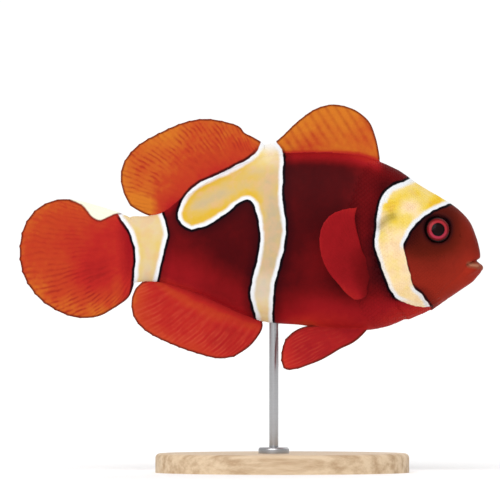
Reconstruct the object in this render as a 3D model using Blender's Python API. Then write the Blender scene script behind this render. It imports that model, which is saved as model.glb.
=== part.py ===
"""A maroon clownfish of the gold-striped form, as a still museum model on a display stand.

Metres, +Z up. The nose points to +X and the fish's left side to +Y. The origin is the bottom
centre of the whole model, on the underside of the stand's base. The fish is modelled round its
own long axis, on an empty that lifts it to its height on the stand.
"""

import math

import bmesh
import bpy
import numpy as np
from mathutils import Matrix, Vector

MM = 0.001

# Driving dimensions, in millimetres.
AXIS_HEIGHT = 58.0  # the fish's long axis above the underside of the base
GAP = 0.3  # clearance between neighbouring pieces
BODY_SIDES = 28
BODY_RINGS = 40
BODY_FULLNESS = 2.15  # 2 makes each cross-section an ellipse, more makes it squarer
BACK_TAPER = 0.05  # how much narrower a section is towards the back than towards the belly
WIDE = 40.0  # reach of the parting cutters to each side

# The body from the end of the tail stalk to the lips. Each row is the back's x and z, the
# belly's x and z, and the half width, with z from the long axis.
BODY_STATIONS = (
    (-33.2, 6.6, -33.2, -7.0, 0.9),  # end of the tail stalk
    (-31.0, 8.3, -31.0, -8.7, 1.9),
    (-27.0, 8.8, -27.0, -8.4, 2.8),
    (-23.0, 9.8, -23.0, -8.8, 3.7),  # front of the tail stalk
    (-18.3, 13.2, -18.0, -10.2, 4.8),
    (-13.0, 16.8, -12.5, -12.2, 6.0),
    (-7.8, 19.9, -7.3, -14.6, 7.1),
    (-2.2, 22.6, -2.0, -17.0, 8.1),
    (4.2, 24.6, 4.2, -19.1, 9.0),  # notch between the dorsal fins
    (12.5, 25.2, 12.8, -20.1, 9.7),
    (20.5, 25.2, 21.2, -21.1, 10.1),
    (28.0, 24.5, 29.3, -21.2, 10.3),  # root of the pelvic fins
    (33.4, 22.9, 35.3, -20.0, 10.3),
    (38.6, 20.5, 40.8, -18.0, 10.0),  # rear of the head
    (43.9, 16.7, 46.2, -15.9, 9.2),
    (49.1, 13.2, 51.2, -12.8, 7.9),  # eyes
    (53.4, 10.5, 55.1, -10.3, 6.4),
    (56.5, 7.1, 57.8, -8.6, 5.0),
    (58.2, 3.4, 59.3, -7.0, 3.8),  # snout
    (59.2, 0.2, 60.0, -6.0, 2.7),
    (59.9, -2.6, 60.2, -5.2, 1.2),  # lips
)

# Lines across the body, seen from the side, as x and z from top to bottom.
GILL_LINE = ((37.4, 26.0), (35.8, 17.0), (32.8, 9.6), (31.7, 2.3), (33.0, -5.0), (36.6, -12.0), (43.0, -22.0))
CHEEK_LINE = ((37.2, 14.2), (39.3, 8.4), (40.0, 0.6), (41.2, -6.4), (44.0, -12.0), (45.2, -14.6))
COVER_THICKNESS = 2.0
STALK_FRONT = -23.6
MOUTH_CORNER = (55.4, -4.5)
MOUTH_FRONT = 62.0
UPPER_LIP_EDGE = -2.5
LOWER_LIP_EDGE = -3.2
CHIN_REAR = (52.4, -15.5)

EYE_PLACE = (48.4, 5.2)
EYE_RADIUS = 3.6
EYE_DEPTH_RADIUS = 2.2  # the eyeball is flattened towards the head
EYE_SINK = 1.0  # the eyeball's centre below the cheek's surface
EYE_SIDES = 18
EYE_RINGS = 10

CHEEK_SPINE_ROOT = (46.0, -2.6)
CHEEK_SPINE_TIP = (42.6, -6.8)
CHEEK_SPINE_RADIUS = 0.65
CHEEK_SPINE_SIDES = 8

# Each fin as four edges seen from the side: the root from front to rear, the leading edge from
# the root out, the margin from front to rear, and the trailing edge from the root out.
FRONT_DORSAL = (
    ((33.6, 21.3), (20.0, 23.4), (4.1, 22.6)),
    ((33.6, 21.3), (33.3, 25.4), (32.2, 29.4), (30.4, 33.0), (27.2, 35.9)),
    ((27.2, 35.9), (24.0, 37.3), (20.5, 37.7), (16.2, 36.4), (11.8, 33.2), (8.0, 29.5), (6.0, 28.0), (4.1, 27.5)),
    ((4.1, 22.6), (4.1, 27.5)),
)
REAR_DORSAL = (
    ((3.8, 22.6), (-8.0, 18.2), (-16.0, 12.8), (-23.5, 7.6)),
    ((3.8, 22.6), (3.8, 27.5)),
    ((3.8, 27.5), (1.4, 27.8), (-1.2, 30.0), (-4.6, 32.5), (-11.0, 33.9), (-17.0, 33.2), (-23.2, 30.7),
     (-29.4, 27.3), (-33.0, 23.2), (-34.1, 19.0)),
    ((-23.5, 7.6), (-28.2, 9.4), (-31.6, 11.2), (-33.3, 14.8), (-34.1, 19.0)),
)
TAIL = (
    ((-30.0, 6.8), (-29.4, 0.0), (-30.0, -7.2)),
    ((-30.0, 6.8), (-35.0, 9.8), (-40.6, 11.6), (-46.0, 12.9), (-51.0, 12.8)),
    ((-51.0, 12.8), (-55.4, 10.4), (-58.8, 6.1), (-60.3, 0.4), (-59.8, -5.0), (-57.5, -9.9), (-53.2, -14.3),
     (-46.6, -17.3)),
    ((-30.0, -7.2), (-32.0, -11.6), (-35.2, -14.9), (-40.2, -17.3), (-46.6, -17.3)),
)
ANAL = (
    ((2.6, -17.4), (-8.0, -13.4), (-16.0, -9.8), (-24.4, -7.2)),
    ((2.6, -17.4), (2.9, -20.0), (1.9, -22.3)),
    ((1.9, -22.3), (-0.6, -25.2), (-4.4, -27.8), (-9.0, -28.3), (-15.0, -26.9), (-21.0, -24.7), (-27.0, -21.7),
     (-30.4, -18.2), (-31.3, -14.2)),
    ((-24.4, -7.2), (-28.4, -8.4), (-30.4, -10.6), (-31.3, -14.2)),
)
# The paired fins are drawn in their own plane: distance out from the root line, then height.
PECTORAL_ROOT = (29.6, -8.0)
PECTORAL_FLARE = math.radians(32.0)
PECTORAL = (
    ((-1.2, -3.6), (-0.8, -8.0), (0.2, -12.2)),
    ((-1.2, -3.6), (0.6, 3.4), (3.0, 11.0)),
    ((3.0, 11.0), (8.4, 9.9), (12.7, 7.0), (15.1, 2.3), (14.2, -2.8), (11.2, -7.6), (7.2, -12.0)),
    ((0.2, -12.2), (3.6, -12.9), (7.2, -12.0)),
)
# The pelvic fins: x, then the distance down from the root line along the splayed fin.
PELVIC_ROOT = (2.2, -19.4)
PELVIC_SPLAY = math.radians(22.0)
PELVIC = (
    ((29.3, 0.2), (26.5, 0.0), (23.6, 0.0)),
    ((29.3, 0.2), (27.4, 4.2), (23.0, 7.2), (17.4, 10.4), (12.0, 12.4)),
    ((12.0, 12.4), (9.2, 12.6), (8.1, 10.8), (8.2, 7.6), (9.0, 4.4)),
    ((23.6, 0.0), (18.6, 0.2), (14.4, 0.6), (11.4, 2.0), (9.0, 4.4)),
)
FIN_ROOT_HALF = 0.85
FIN_EDGE_HALF = 0.3
PAIRED_ROOT_HALF = 0.6

BASE_PLACE = 8.0
BASE_LENGTH = 66.0
BASE_WIDTH = 42.0
BASE_HEIGHT = 5.0
BASE_BEVEL = 1.2
BASE_SIDES = 48
ROD_PLACE = 5.8
ROD_RADIUS = 1.2
ROD_TOP = -13.5  # from the long axis: the rod goes on into the belly
COLLAR_RADIUS = 4.0
COLLAR_HEIGHT = 2.6
COLLAR_SEAT = 1.0  # the collar is let into the base by this much
ROUND_SIDES = 24


def clear_scene():
    """Remove whatever the file held before."""
    for obj in list(bpy.data.objects):
        bpy.data.objects.remove(obj, do_unlink=True)


def material(name, colour, roughness, metallic=0.0):
    """A Principled material with one colour."""
    made = bpy.data.materials.new(name)
    made.use_nodes = True
    shader = made.node_tree.nodes["Principled BSDF"]
    shader.inputs["Base Color"].default_value = (*colour, 1.0)
    shader.inputs["Roughness"].default_value = roughness
    shader.inputs["Metallic"].default_value = metallic
    made.diffuse_color = (*colour, 1.0)
    return made


def cubic(rows, place):
    """The value at a place, counted in rows, on the smooth curve through evenly spaced rows."""
    last = len(rows) - 1
    first = min(max(int(place), 0), last - 1)
    share = place - first
    start, end = rows[first], rows[first + 1]
    before = rows[first - 1] if first > 0 else 2 * start - end
    after = rows[first + 2] if first + 2 <= last else 2 * end - start
    slope_in, slope_out = (end - before) / 2, (after - start) / 2
    turn = 3 * (end - start) - 2 * slope_in - slope_out
    bend = 2 * (start - end) + slope_in + slope_out
    return start + share * (slope_in + share * (turn + share * bend))


def on_line(points, share):
    """The point at a share of the length of the smooth line through points."""
    rows = np.array(points, float)
    reach = np.concatenate([[0.0], np.cumsum(np.linalg.norm(np.diff(rows, axis=0), axis=1))])
    place = np.interp(share * reach[-1], reach, np.arange(len(rows)))
    return cubic(rows, place)


def sampled(points, steps):
    """The smooth line through points as steps + 1 points."""
    return [tuple(on_line(points, step / steps)) for step in range(steps + 1)]


def section(along):
    """Back, belly and half width of the body at a share of the way from tail to lips."""
    rows = np.array(BODY_STATIONS)
    row = cubic(rows, along * (len(rows) - 1))
    return row[:2], row[2:4], row[4]


def flank(x, z):
    """The body's half width at a point of its side view."""
    low, high = 0.0, 1.0
    for _ in range(40):
        along = (low + high) / 2
        back, belly, _ = section(along)
        ahead = (x - belly[0]) * (back[1] - belly[1]) - (z - belly[1]) * (back[0] - belly[0])
        low, high = (along, high) if ahead > 0 else (low, along)
    back, belly, half_width = section(low)
    height = 2 * (z - belly[1]) / (back[1] - belly[1]) - 1
    round_off = max(1 - abs(height) ** BODY_FULLNESS, 0.0) ** (1 / BODY_FULLNESS)
    return half_width * round_off * (1 - BACK_TAPER * height)


def body_point(along, up, side, inset):
    """A point of the body's surface; up and side are the sphere's own directions, -1 to 1."""
    back, belly, half_width = section(along)
    middle = (back + belly) / 2
    half_height = np.linalg.norm(back - belly) / 2
    trimmed = max(half_height - inset, 0.4) / half_height
    power = 2 / BODY_FULLNESS
    height = math.copysign(abs(up) ** power, up)
    width = math.copysign(abs(side) ** power, side)
    place = middle + (back - belly) / 2 * trimmed * height
    end_shift = -inset * (2 * along - 1)
    across = max(half_width - inset, 0.2) * width * (1 - BACK_TAPER * height)
    return Vector((place[0] + end_shift, across, place[1])) * MM


def body_mesh(bm, inset):
    """The whole body without fins, its surface moved in by inset."""
    bmesh.ops.create_uvsphere(bm, u_segments=BODY_SIDES, v_segments=BODY_RINGS, radius=1.0)
    for vert in bm.verts:
        along = math.acos(min(max(-vert.co.z, -1.0), 1.0)) / math.pi
        radius = math.hypot(vert.co.x, vert.co.y)
        up, side = (vert.co.x / radius, vert.co.y / radius) if radius > 1e-5 else (0.0, 0.0)
        vert.co = body_point(along, up, side, inset)


def new_object(name, bm, parent, look=None):
    """A smooth object from a bmesh; a helper has no look, and isn't rendered."""
    bmesh.ops.recalc_face_normals(bm, faces=bm.faces[:])
    if bm.calc_volume(signed=True) < 0:
        bmesh.ops.reverse_faces(bm, faces=bm.faces[:])
    mesh = bpy.data.meshes.new(name)
    bm.to_mesh(mesh)
    bm.free()
    mesh.shade_smooth()
    mesh.set_sharp_from_angle(angle=math.radians(40))
    obj = bpy.data.objects.new(name, mesh)
    bpy.context.scene.collection.objects.link(obj)
    obj.parent = parent
    if look:
        mesh.materials.append(look)
    else:
        obj.hide_render = True
        obj.display_type = "WIRE"
    return obj


def empty(name, height):
    """An empty on the vertical axis, which carries other pieces."""
    obj = bpy.data.objects.new(name, None)
    bpy.context.scene.collection.objects.link(obj)
    obj.location = (0.0, 0.0, height * MM)
    return obj


def boolean(obj, operation, other):
    """A Boolean modifier that stays on the object."""
    modifier = obj.modifiers.new(f"{operation}_{other.name}", "BOOLEAN")
    modifier.operation = operation
    modifier.solver = "EXACT"
    modifier.object = other


def prism(name, outline, parent, near=-WIDE, far=WIDE):
    """A helper with a side-view outline, from one distance across the fish to another."""
    bm = bmesh.new()
    face = bm.faces.new([bm.verts.new((x * MM, near * MM, z * MM)) for x, z in outline])
    grown = bmesh.ops.extrude_face_region(bm, geom=[face])
    moved = [item for item in grown["geom"] if isinstance(item, bmesh.types.BMVert)]
    bmesh.ops.translate(bm, vec=(0.0, (far - near) * MM, 0.0), verts=moved)
    return new_object(name, bm, parent)


def body_helper(name, inset, parent):
    """The body as a helper, grown or shrunk."""
    bm = bmesh.new()
    body_mesh(bm, inset)
    return new_object(name, bm, parent)


def body_piece(name, parent, look, zone):
    """The part of the body that lies in a zone."""
    bm = bmesh.new()
    body_mesh(bm, 0.0)
    obj = new_object(name, bm, parent, look)
    boolean(obj, "INTERSECT", zone)
    return obj


def shifted(line, distance):
    """A line moved along X."""
    return [(x + distance, z) for x, z in line]


def head_zone(parent):
    line = shifted(sampled(GILL_LINE, 16), GAP)
    return prism("zone_head", [*line, (70.0, -WIDE), (70.0, WIDE)], parent)


def trunk_zone(parent):
    line = sampled(GILL_LINE, 16)
    front = STALK_FRONT + GAP
    return prism("zone_trunk", [*line, (front, line[-1][1]), (front, line[0][1])], parent)


def stalk_zone(parent):
    return prism(
        "zone_stalk",
        [(-70.0, WIDE), (STALK_FRONT, WIDE), (STALK_FRONT, -WIDE), (-70.0, -WIDE)],
        parent,
    )


def jaw_outline(lip_edge, grow):
    """The lower jaw seen from the side, grown at its rear and its lip."""
    corner = (MOUTH_CORNER[0] - grow, MOUTH_CORNER[1] + grow)
    chin = (CHIN_REAR[0] - grow, CHIN_REAR[1])
    return [corner, (MOUTH_FRONT, lip_edge), (MOUTH_FRONT, CHIN_REAR[1]), chin]


def cover_outline(grow, rear):
    """A gill cover seen from the side: the cheek line forward, the gill line at its rear."""
    cheek = shifted(sampled(CHEEK_LINE, 12), grow)
    top, bottom = cheek[0][1] + grow, cheek[-1][1] - grow
    gill_x, gill_z = zip(*reversed(sampled(GILL_LINE, 28)))
    heights = np.linspace(bottom, top, 14)
    gill = [(float(np.interp(z, gill_z, gill_x)) + rear, float(z)) for z in heights]
    return [(cheek[0][0], top), *cheek[1:-1], (cheek[-1][0], bottom), *gill]


def outward(x, z):
    """The cheek's outward direction on the fish's left, at a point of the side view."""
    step = 0.5
    slope_x = (flank(x + step, z) - flank(x - step, z)) / (2 * step)
    slope_z = (flank(x, z + step) - flank(x, z - step)) / (2 * step)
    return Vector((-slope_x, 1.0, -slope_z)).normalized()


def eye_mesh(bm, side, grow):
    """A flattened eyeball, set into the cheek and turned to face straight out of it."""
    x, z = EYE_PLACE
    out = outward(x, z)
    centre = Vector((x, flank(x, z), z)) - out * EYE_SINK
    made = bmesh.ops.create_uvsphere(bm, u_segments=EYE_SIDES, v_segments=EYE_RINGS, radius=1.0)
    across, deep = (EYE_RADIUS + grow) * MM, (EYE_DEPTH_RADIUS + grow) * MM
    turn = out.to_track_quat("Z", "Y").to_matrix().to_4x4()
    place = Matrix.Translation(centre * MM) @ turn @ Matrix.Diagonal((across, across, deep, 1.0))
    if side < 0:
        place = Matrix.Scale(-1.0, 4, (0.0, 1.0, 0.0)) @ place
    bmesh.ops.transform(bm, matrix=place, verts=made["verts"])


def cheek_spine(parent, side):
    """The spine under the eye that points back over the cheek, as a helper to join to the head."""
    root = Vector((CHEEK_SPINE_ROOT[0], flank(*CHEEK_SPINE_ROOT) - 0.3, CHEEK_SPINE_ROOT[1]))
    tip = Vector((CHEEK_SPINE_TIP[0], flank(*CHEEK_SPINE_TIP) + 0.45, CHEEK_SPINE_TIP[1]))
    root.y *= side
    tip.y *= side
    run = tip - root
    bm = bmesh.new()
    bmesh.ops.create_cone(
        bm,
        cap_ends=True,
        segments=CHEEK_SPINE_SIDES,
        radius1=CHEEK_SPINE_RADIUS * MM,
        radius2=0.12 * MM,
        depth=run.length * MM,
        matrix=Matrix.Translation((root + tip) / 2 * MM) @ run.to_track_quat("Z", "Y").to_matrix().to_4x4(),
    )
    return new_object(f"spine_helper_{'left' if side > 0 else 'right'}", bm, parent)


def socket(parent, side):
    """The hollow that an eye sits in."""
    bm = bmesh.new()
    eye_mesh(bm, side, GAP)
    return new_object(f"socket_{'left' if side > 0 else 'right'}", bm, parent)


def build_head(parent, looks):
    """Head, lower jaw, gill covers and eyes."""
    head = body_piece("head", parent, looks["head"], head_zone(parent))
    boolean(head, "DIFFERENCE", prism("jaw_room", jaw_outline(UPPER_LIP_EDGE, GAP), parent))
    recess = prism("cover_room", cover_outline(GAP, -4.0), parent)
    boolean(recess, "DIFFERENCE", body_helper("cover_floor", COVER_THICKNESS + GAP, parent))
    boolean(head, "DIFFERENCE", recess)
    jaw_zone = prism("zone_jaw", jaw_outline(LOWER_LIP_EDGE, 0.0), parent)
    body_piece("lower_jaw", parent, looks["head"], jaw_zone)
    inner = body_helper("cover_inside", COVER_THICKNESS, parent)
    for name, side in (("left", 1), ("right", -1)):
        boolean(head, "DIFFERENCE", socket(parent, side))
        boolean(head, "UNION", cheek_spine(parent, side))
        near, far = sorted((0.0, side * WIDE))
        zone = prism(f"zone_cover_{name}", cover_outline(0.0, GAP), parent, near, far)
        cover = body_piece(f"gill_cover_{name}", parent, looks["band"], zone)
        boolean(cover, "DIFFERENCE", inner)
        bm = bmesh.new()
        eye_mesh(bm, side, 0.0)
        new_object(f"eye_{name}", bm, parent, looks["eye"])


def build_trunk(parent, looks):
    """Trunk, with the rod's bore, and tail stalk."""
    trunk = body_piece("trunk", parent, looks["body"], trunk_zone(parent))
    bm = bmesh.new()
    add_cylinder(bm, ROD_RADIUS + GAP, -WIDE, ROD_TOP + GAP, ROD_PLACE)
    boolean(trunk, "DIFFERENCE", new_object("rod_bore", bm, parent))
    body_piece("tail_stalk", parent, looks["band"], stalk_zone(parent))


def patch(edges, out_share, back_share):
    """A point of the smooth sheet between a fin's four edges."""
    root, leading, margin, trailing = edges
    across = on_line(root, back_share) * (1 - out_share) + on_line(margin, back_share) * out_share
    outward_run = on_line(leading, out_share) * (1 - back_share) + on_line(trailing, out_share) * back_share
    near = np.array(root[0]) * (1 - back_share) + np.array(root[-1]) * back_share
    far = np.array(margin[0]) * (1 - back_share) + np.array(margin[-1]) * back_share
    return across + outward_run - near * (1 - out_share) - far * out_share


def fin(name, edges, placed, parent, look, trim, root_half=FIN_ROOT_HALF, rays=18, steps=5):
    """A fin: a sheet between four edges, thick at the root and thin at the margin, cut clear of the body."""
    bm = bmesh.new()
    bmesh.ops.create_grid(bm, x_segments=rays, y_segments=steps, size=0.5)
    grown = bmesh.ops.extrude_face_region(bm, geom=bm.faces[:])
    far_side = {item for item in grown["geom"] if isinstance(item, bmesh.types.BMVert)}
    for vert in bm.verts:
        back_share, out_share = vert.co.x + 0.5, vert.co.y + 0.5
        half = root_half * (1 - out_share) + FIN_EDGE_HALF * out_share
        first, second = patch(edges, out_share, back_share)
        vert.co = placed(first, second, half if vert in far_side else -half) * MM
    obj = new_object(name, bm, parent, look)
    boolean(obj, "DIFFERENCE", trim)
    return obj


def in_midplane(x, z, across):
    """A fin on the fish's midline."""
    return Vector((x, across, z))


def pectoral_place(side):
    """A fin that stands out from the flank, turned about its upright root line."""
    root_y = flank(*PECTORAL_ROOT)

    def placed(out, height, across):
        x = PECTORAL_ROOT[0] - out * math.cos(PECTORAL_FLARE) + across * math.sin(PECTORAL_FLARE)
        y = root_y + out * math.sin(PECTORAL_FLARE) + across * math.cos(PECTORAL_FLARE)
        return Vector((x, side * y, height))

    return placed


def pelvic_place(side):
    """A fin that hangs from the belly and spreads outward."""
    root_y, root_z = PELVIC_ROOT

    def placed(x, down, across):
        y = root_y + down * math.sin(PELVIC_SPLAY) + across * math.cos(PELVIC_SPLAY)
        z = root_z - down * math.cos(PELVIC_SPLAY) + across * math.sin(PELVIC_SPLAY)
        return Vector((x, side * y, z))

    return placed


def build_fins(parent, looks):
    """The four fins of the midline and the two pairs."""
    trim = body_helper("fin_clearance", -GAP, parent)
    look = looks["fin"]
    fin("dorsal_fin_front", FRONT_DORSAL, in_midplane, parent, look, trim)
    fin("dorsal_fin_rear", REAR_DORSAL, in_midplane, parent, look, trim)
    fin("anal_fin", ANAL, in_midplane, parent, look, trim)
    fin("tail_fin", TAIL, in_midplane, parent, look, trim, rays=22)
    for name, side in (("left", 1), ("right", -1)):
        fin(f"pectoral_fin_{name}", PECTORAL, pectoral_place(side), parent, look, trim, PAIRED_ROOT_HALF, 12)
        fin(f"pelvic_fin_{name}", PELVIC, pelvic_place(side), parent, look, trim, PAIRED_ROOT_HALF, 10)


def add_cylinder(bm, radius, bottom, top, x):
    """An upright round bar between two heights."""
    bmesh.ops.create_cone(
        bm,
        cap_ends=True,
        segments=ROUND_SIDES,
        radius1=radius * MM,
        radius2=radius * MM,
        depth=(top - bottom) * MM,
        matrix=Matrix.Translation((x * MM, 0.0, (top + bottom) / 2 * MM)),
    )


def build_base(parent, look):
    """An oval plate with a softened upper edge and a seat for the collar."""
    bm = bmesh.new()
    made = bmesh.ops.create_circle(bm, cap_ends=True, segments=BASE_SIDES, radius=1.0)
    size = (BASE_LENGTH / 2 * MM, BASE_WIDTH / 2 * MM, 1.0)
    bmesh.ops.scale(bm, vec=size, verts=made["verts"])
    bmesh.ops.translate(bm, vec=(BASE_PLACE * MM, 0.0, 0.0), verts=made["verts"])
    grown = bmesh.ops.extrude_face_region(bm, geom=bm.faces[:])
    raised = [item for item in grown["geom"] if isinstance(item, bmesh.types.BMVert)]
    bmesh.ops.translate(bm, vec=(0.0, 0.0, BASE_HEIGHT * MM), verts=raised)
    rim = [edge for edge in bm.edges if all(vert in raised for vert in edge.verts)]
    bmesh.ops.bevel(bm, geom=rim, offset=BASE_BEVEL * MM, segments=3, profile=0.5, affect="EDGES", material=-1)
    base = new_object("stand_base", bm, parent, look)
    seat = bmesh.new()
    add_cylinder(seat, COLLAR_RADIUS + GAP, BASE_HEIGHT - COLLAR_SEAT - GAP, WIDE, ROD_PLACE)
    boolean(base, "DIFFERENCE", new_object("collar_seat", seat, parent))


def build_rod(parent, look):
    """The rod from the collar up into the belly, and the collar round its foot."""
    foot = BASE_HEIGHT - COLLAR_SEAT
    bm = bmesh.new()
    add_cylinder(bm, ROD_RADIUS, foot, AXIS_HEIGHT + ROD_TOP, ROD_PLACE)
    new_object("stand_rod", bm, parent, look)
    ring = bmesh.new()
    add_cylinder(ring, COLLAR_RADIUS, foot, foot + COLLAR_HEIGHT, ROD_PLACE)
    top = foot + COLLAR_HEIGHT
    rim = [edge for edge in ring.edges if all(vert.co.z > (top - 0.01) * MM for vert in edge.verts)]
    bmesh.ops.bevel(ring, geom=rim, offset=0.8 * MM, segments=3, profile=0.5, affect="EDGES", material=-1)
    collar = new_object("stand_collar", ring, parent, look)
    bore = bmesh.new()
    add_cylinder(bore, ROD_RADIUS + GAP, 0.0, WIDE, ROD_PLACE)
    boolean(collar, "DIFFERENCE", new_object("collar_bore", bore, parent))


def main():
    """Build the fish on its stand."""
    clear_scene()
    looks = {
        "head": material("head_brown_red", (0.20, 0.020, 0.010), 0.45),
        "body": material("maroon_skin", (0.11, 0.008, 0.009), 0.45),
        "band": material("gold_band", (0.83, 0.66, 0.33), 0.5),
        "fin": material("orange_fin", (0.58, 0.075, 0.03), 0.5),
        "eye": material("eye", (0.02, 0.004, 0.008), 0.1),
    }
    fish = empty("fish", AXIS_HEIGHT)
    stand = empty("stand", 0.0)
    build_head(fish, looks)
    build_trunk(fish, looks)
    build_fins(fish, looks)
    build_base(stand, material("pale_wood", (0.45, 0.28, 0.15), 0.5))
    build_rod(stand, material("brushed_steel", (0.6, 0.6, 0.6), 0.3, 1.0))


main()
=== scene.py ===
"""A maroon clownfish of the gold-striped form, as a museum model on a display stand.

One skin runs from lips to tail and stands for every node of flesh. Over it lie the scales, in a
left and a right coat. The eyes and the three pieces of the stand are pieces of their own. Lengths
are in millimetres until a mesh is made, and heights run from the fish's long axis.
"""

import logging
import math
from collections.abc import Iterator
from contextlib import contextmanager
from dataclasses import dataclass
from enum import Enum
from functools import cached_property

import bmesh
import bpy
import numpy as np
from mathutils import Matrix, Vector


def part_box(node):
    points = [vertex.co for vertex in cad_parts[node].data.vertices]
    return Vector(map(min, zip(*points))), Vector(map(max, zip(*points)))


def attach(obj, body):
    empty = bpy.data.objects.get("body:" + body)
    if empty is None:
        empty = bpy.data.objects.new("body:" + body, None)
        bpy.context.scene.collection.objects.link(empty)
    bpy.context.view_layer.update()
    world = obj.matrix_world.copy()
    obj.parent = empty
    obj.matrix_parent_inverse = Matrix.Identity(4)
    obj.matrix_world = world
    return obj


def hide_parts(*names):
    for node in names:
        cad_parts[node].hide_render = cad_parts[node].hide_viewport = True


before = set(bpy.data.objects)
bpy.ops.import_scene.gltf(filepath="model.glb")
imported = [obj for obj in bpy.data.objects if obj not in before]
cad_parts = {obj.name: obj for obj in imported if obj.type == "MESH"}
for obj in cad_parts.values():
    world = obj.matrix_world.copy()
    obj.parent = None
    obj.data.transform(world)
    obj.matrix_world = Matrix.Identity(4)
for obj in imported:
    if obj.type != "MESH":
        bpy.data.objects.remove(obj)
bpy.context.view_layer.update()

log = logging.getLogger("clownfish")

Array = np.ndarray
BMesh = bmesh.types.BMesh
Material = bpy.types.Material
Mesh = bpy.types.Mesh
Piece = bpy.types.Object
Socket = bpy.types.NodeSocket

MM = 0.001
AXIS = np.array([0, 0, 58.0])  # the long axis above the underside of the stand
FORWARD = np.array([1.0, 0, 0])
FLESH_NODES = (
    "head", "lower_jaw", "gill_cover_left", "gill_cover_right", "trunk", "tail_stalk", "tail_fin",
    "dorsal_fin_front", "dorsal_fin_rear", "anal_fin", "pectoral_fin_left", "pectoral_fin_right",
    "pelvic_fin_left", "pelvic_fin_right",
)  # fmt: skip


class Side(Enum):
    """A side of the fish, as the sign of its Y."""

    LEFT = 1.0
    RIGHT = -1.0


class Stance(Enum):
    """How a fin stands on the body."""

    MIDLINE = "midline"
    FLARED = "flared"
    SPLAYED = "splayed"


# Curves, and patches of the side view


def rise(low: float, high: float, value: Array) -> Array:
    """Rise smoothly from 0 where the value is low to 1 where it is high; high may lie below low."""
    share = np.clip((value - low) / (high - low), 0, 1)
    return share * share * (3 - 2 * share)


def bell(value: Array, width: float, centre: float = 0.0) -> Array:
    """A bell of height 1 at the centre, which has fallen to 0.37 at its width from there."""
    return np.exp(-(((value - centre) / width) ** 2))


def cubic(rows: Array, place: Array) -> Array:
    """Read the smooth curve through evenly spaced rows.

    Args:
        rows: The rows that the curve passes through.
        place: Places on the curve, counted in rows.

    Returns:
        One row of values for each place.
    """
    place = np.atleast_1d(np.asarray(place, float))
    first = np.clip(place.astype(int), 0, len(rows) - 2)
    share = (place - first)[:, None]
    padded = np.concatenate([2 * rows[:1] - rows[1:2], rows, 2 * rows[-1:] - rows[-2:-1]])
    before, start, end, after = (padded[first + step] for step in range(4))
    slope_in, slope_out = (end - before) / 2, (after - start) / 2
    turn = 3 * (end - start) - 2 * slope_in - slope_out
    bend = 2 * (start - end) + slope_in + slope_out
    return start + share * (slope_in + share * (turn + share * bend))


def on_line(points: tuple, share: Array) -> Array:
    """Read the smooth line through points by shares of its length.

    Args:
        points: The points that the line passes through.
        share: Shares of its length, 0 to 1.

    Returns:
        One point for each share.
    """
    rows = np.array(points, float)
    reach = np.concatenate([[0], np.cumsum(np.linalg.norm(np.diff(rows, axis=0), axis=1))])
    return cubic(rows, np.interp(np.asarray(share, float) * reach[-1], reach, np.arange(len(rows))))


class SideLine:
    """A smooth line drawn on the side of the fish, left open or closed round a patch."""

    def __init__(self, *lines: tuple, steps: int = 48, closed: bool = False) -> None:
        """Sample the line.

        Args:
            *lines: Its stretches in order, each as the x and z of the points that it passes through.
            steps: How many straight pieces stand for each stretch.
            closed: Whether it runs back to its start.
        """
        path = np.concatenate([on_line(line, np.linspace(0, 1, steps + 1)) for line in lines])
        path = np.concatenate([path, path[:1]]) if closed else path
        moved = np.linalg.norm(np.diff(path, axis=0), axis=1) > 1e-6
        self.path = path[np.concatenate([[True], moved])]

    def measure(self, flat: Array) -> tuple[Array, Array, Array]:
        """Measure places against the line.

        Args:
            flat: The x and z of each place.

        Returns:
            The distance to the line, the share of the line at the nearest point, and the signed
            distance, which is positive to the left of the line as it runs.
        """
        start, run = self.path[:-1], np.diff(self.path, axis=0)
        squared = (run**2).sum(1)
        best = np.full(len(flat), np.inf)
        share, signed = np.zeros(len(flat)), np.zeros(len(flat))
        for index in range(len(run)):
            away = flat - start[index]
            along = np.clip(away @ run[index] / squared[index], 0, 1)
            gap = np.linalg.norm(away - along[:, None] * run[index], axis=1)
            nearer = gap < best
            best[nearer] = gap[nearer]
            share[nearer] = (index + along[nearer]) / len(run)
            cross = run[index, 0] * away[:, 1] - run[index, 1] * away[:, 0]
            signed[nearer] = np.sign(cross[nearer]) * gap[nearer]
        return best, share, signed

    def depth(self, flat: Array) -> Array:
        """Find how far inside a closed line each place lies.

        Args:
            flat: The x and z of each place.

        Returns:
            The distance to the line, negative outside it.
        """
        inside = np.zeros(len(flat), bool)
        for (x0, z0), (x1, z1) in zip(self.path, self.path[1:]):
            if z0 != z1:
                crosses = (z0 > flat[:, 1]) != (z1 > flat[:, 1])
                inside ^= crosses & (flat[:, 0] < x0 + (flat[:, 1] - z0) * (x1 - x0) / (z1 - z0))
        return np.where(inside, 1, -1) * self.measure(flat)[0]


class SideView:
    """Places seen from the fish's side, and the soft shares that its looks are drawn from."""

    def __init__(self, flat: Array) -> None:
        """Keep the x and z of each place."""
        self.flat = flat
        self.x, self.z = flat.T

    @cached_property
    def on_body(self) -> tuple[Array, Array]:
        """The place along the body and the turn round its section."""
        return BODY.at(self.x, self.z)

    @cached_property
    def margins(self) -> tuple[Array, Array]:
        """The depth below the back and the height above the belly."""
        row = BODY.section(self.on_body[0])
        return row[:, 1] - self.z, self.z - row[:, 3]

    def ahead(self, *steps: float) -> Array:
        """Rise along x, or rise and fall: each two steps are where a share is 0 and where it is 1."""
        return math.prod(rise(*pair, self.x) for pair in zip(steps[::2], steps[1::2]))

    def up(self, *steps: float) -> Array:
        """The same along z."""
        return math.prod(rise(*pair, self.z) for pair in zip(steps[::2], steps[1::2]))

    def spot(self, x: float, z: float, reach: float, ring: float = 0.0) -> Array:
        """A soft round spot, or a soft ring of that radius round the point."""
        return bell(np.hypot(self.x - x, self.z - z), reach, ring)


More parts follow.
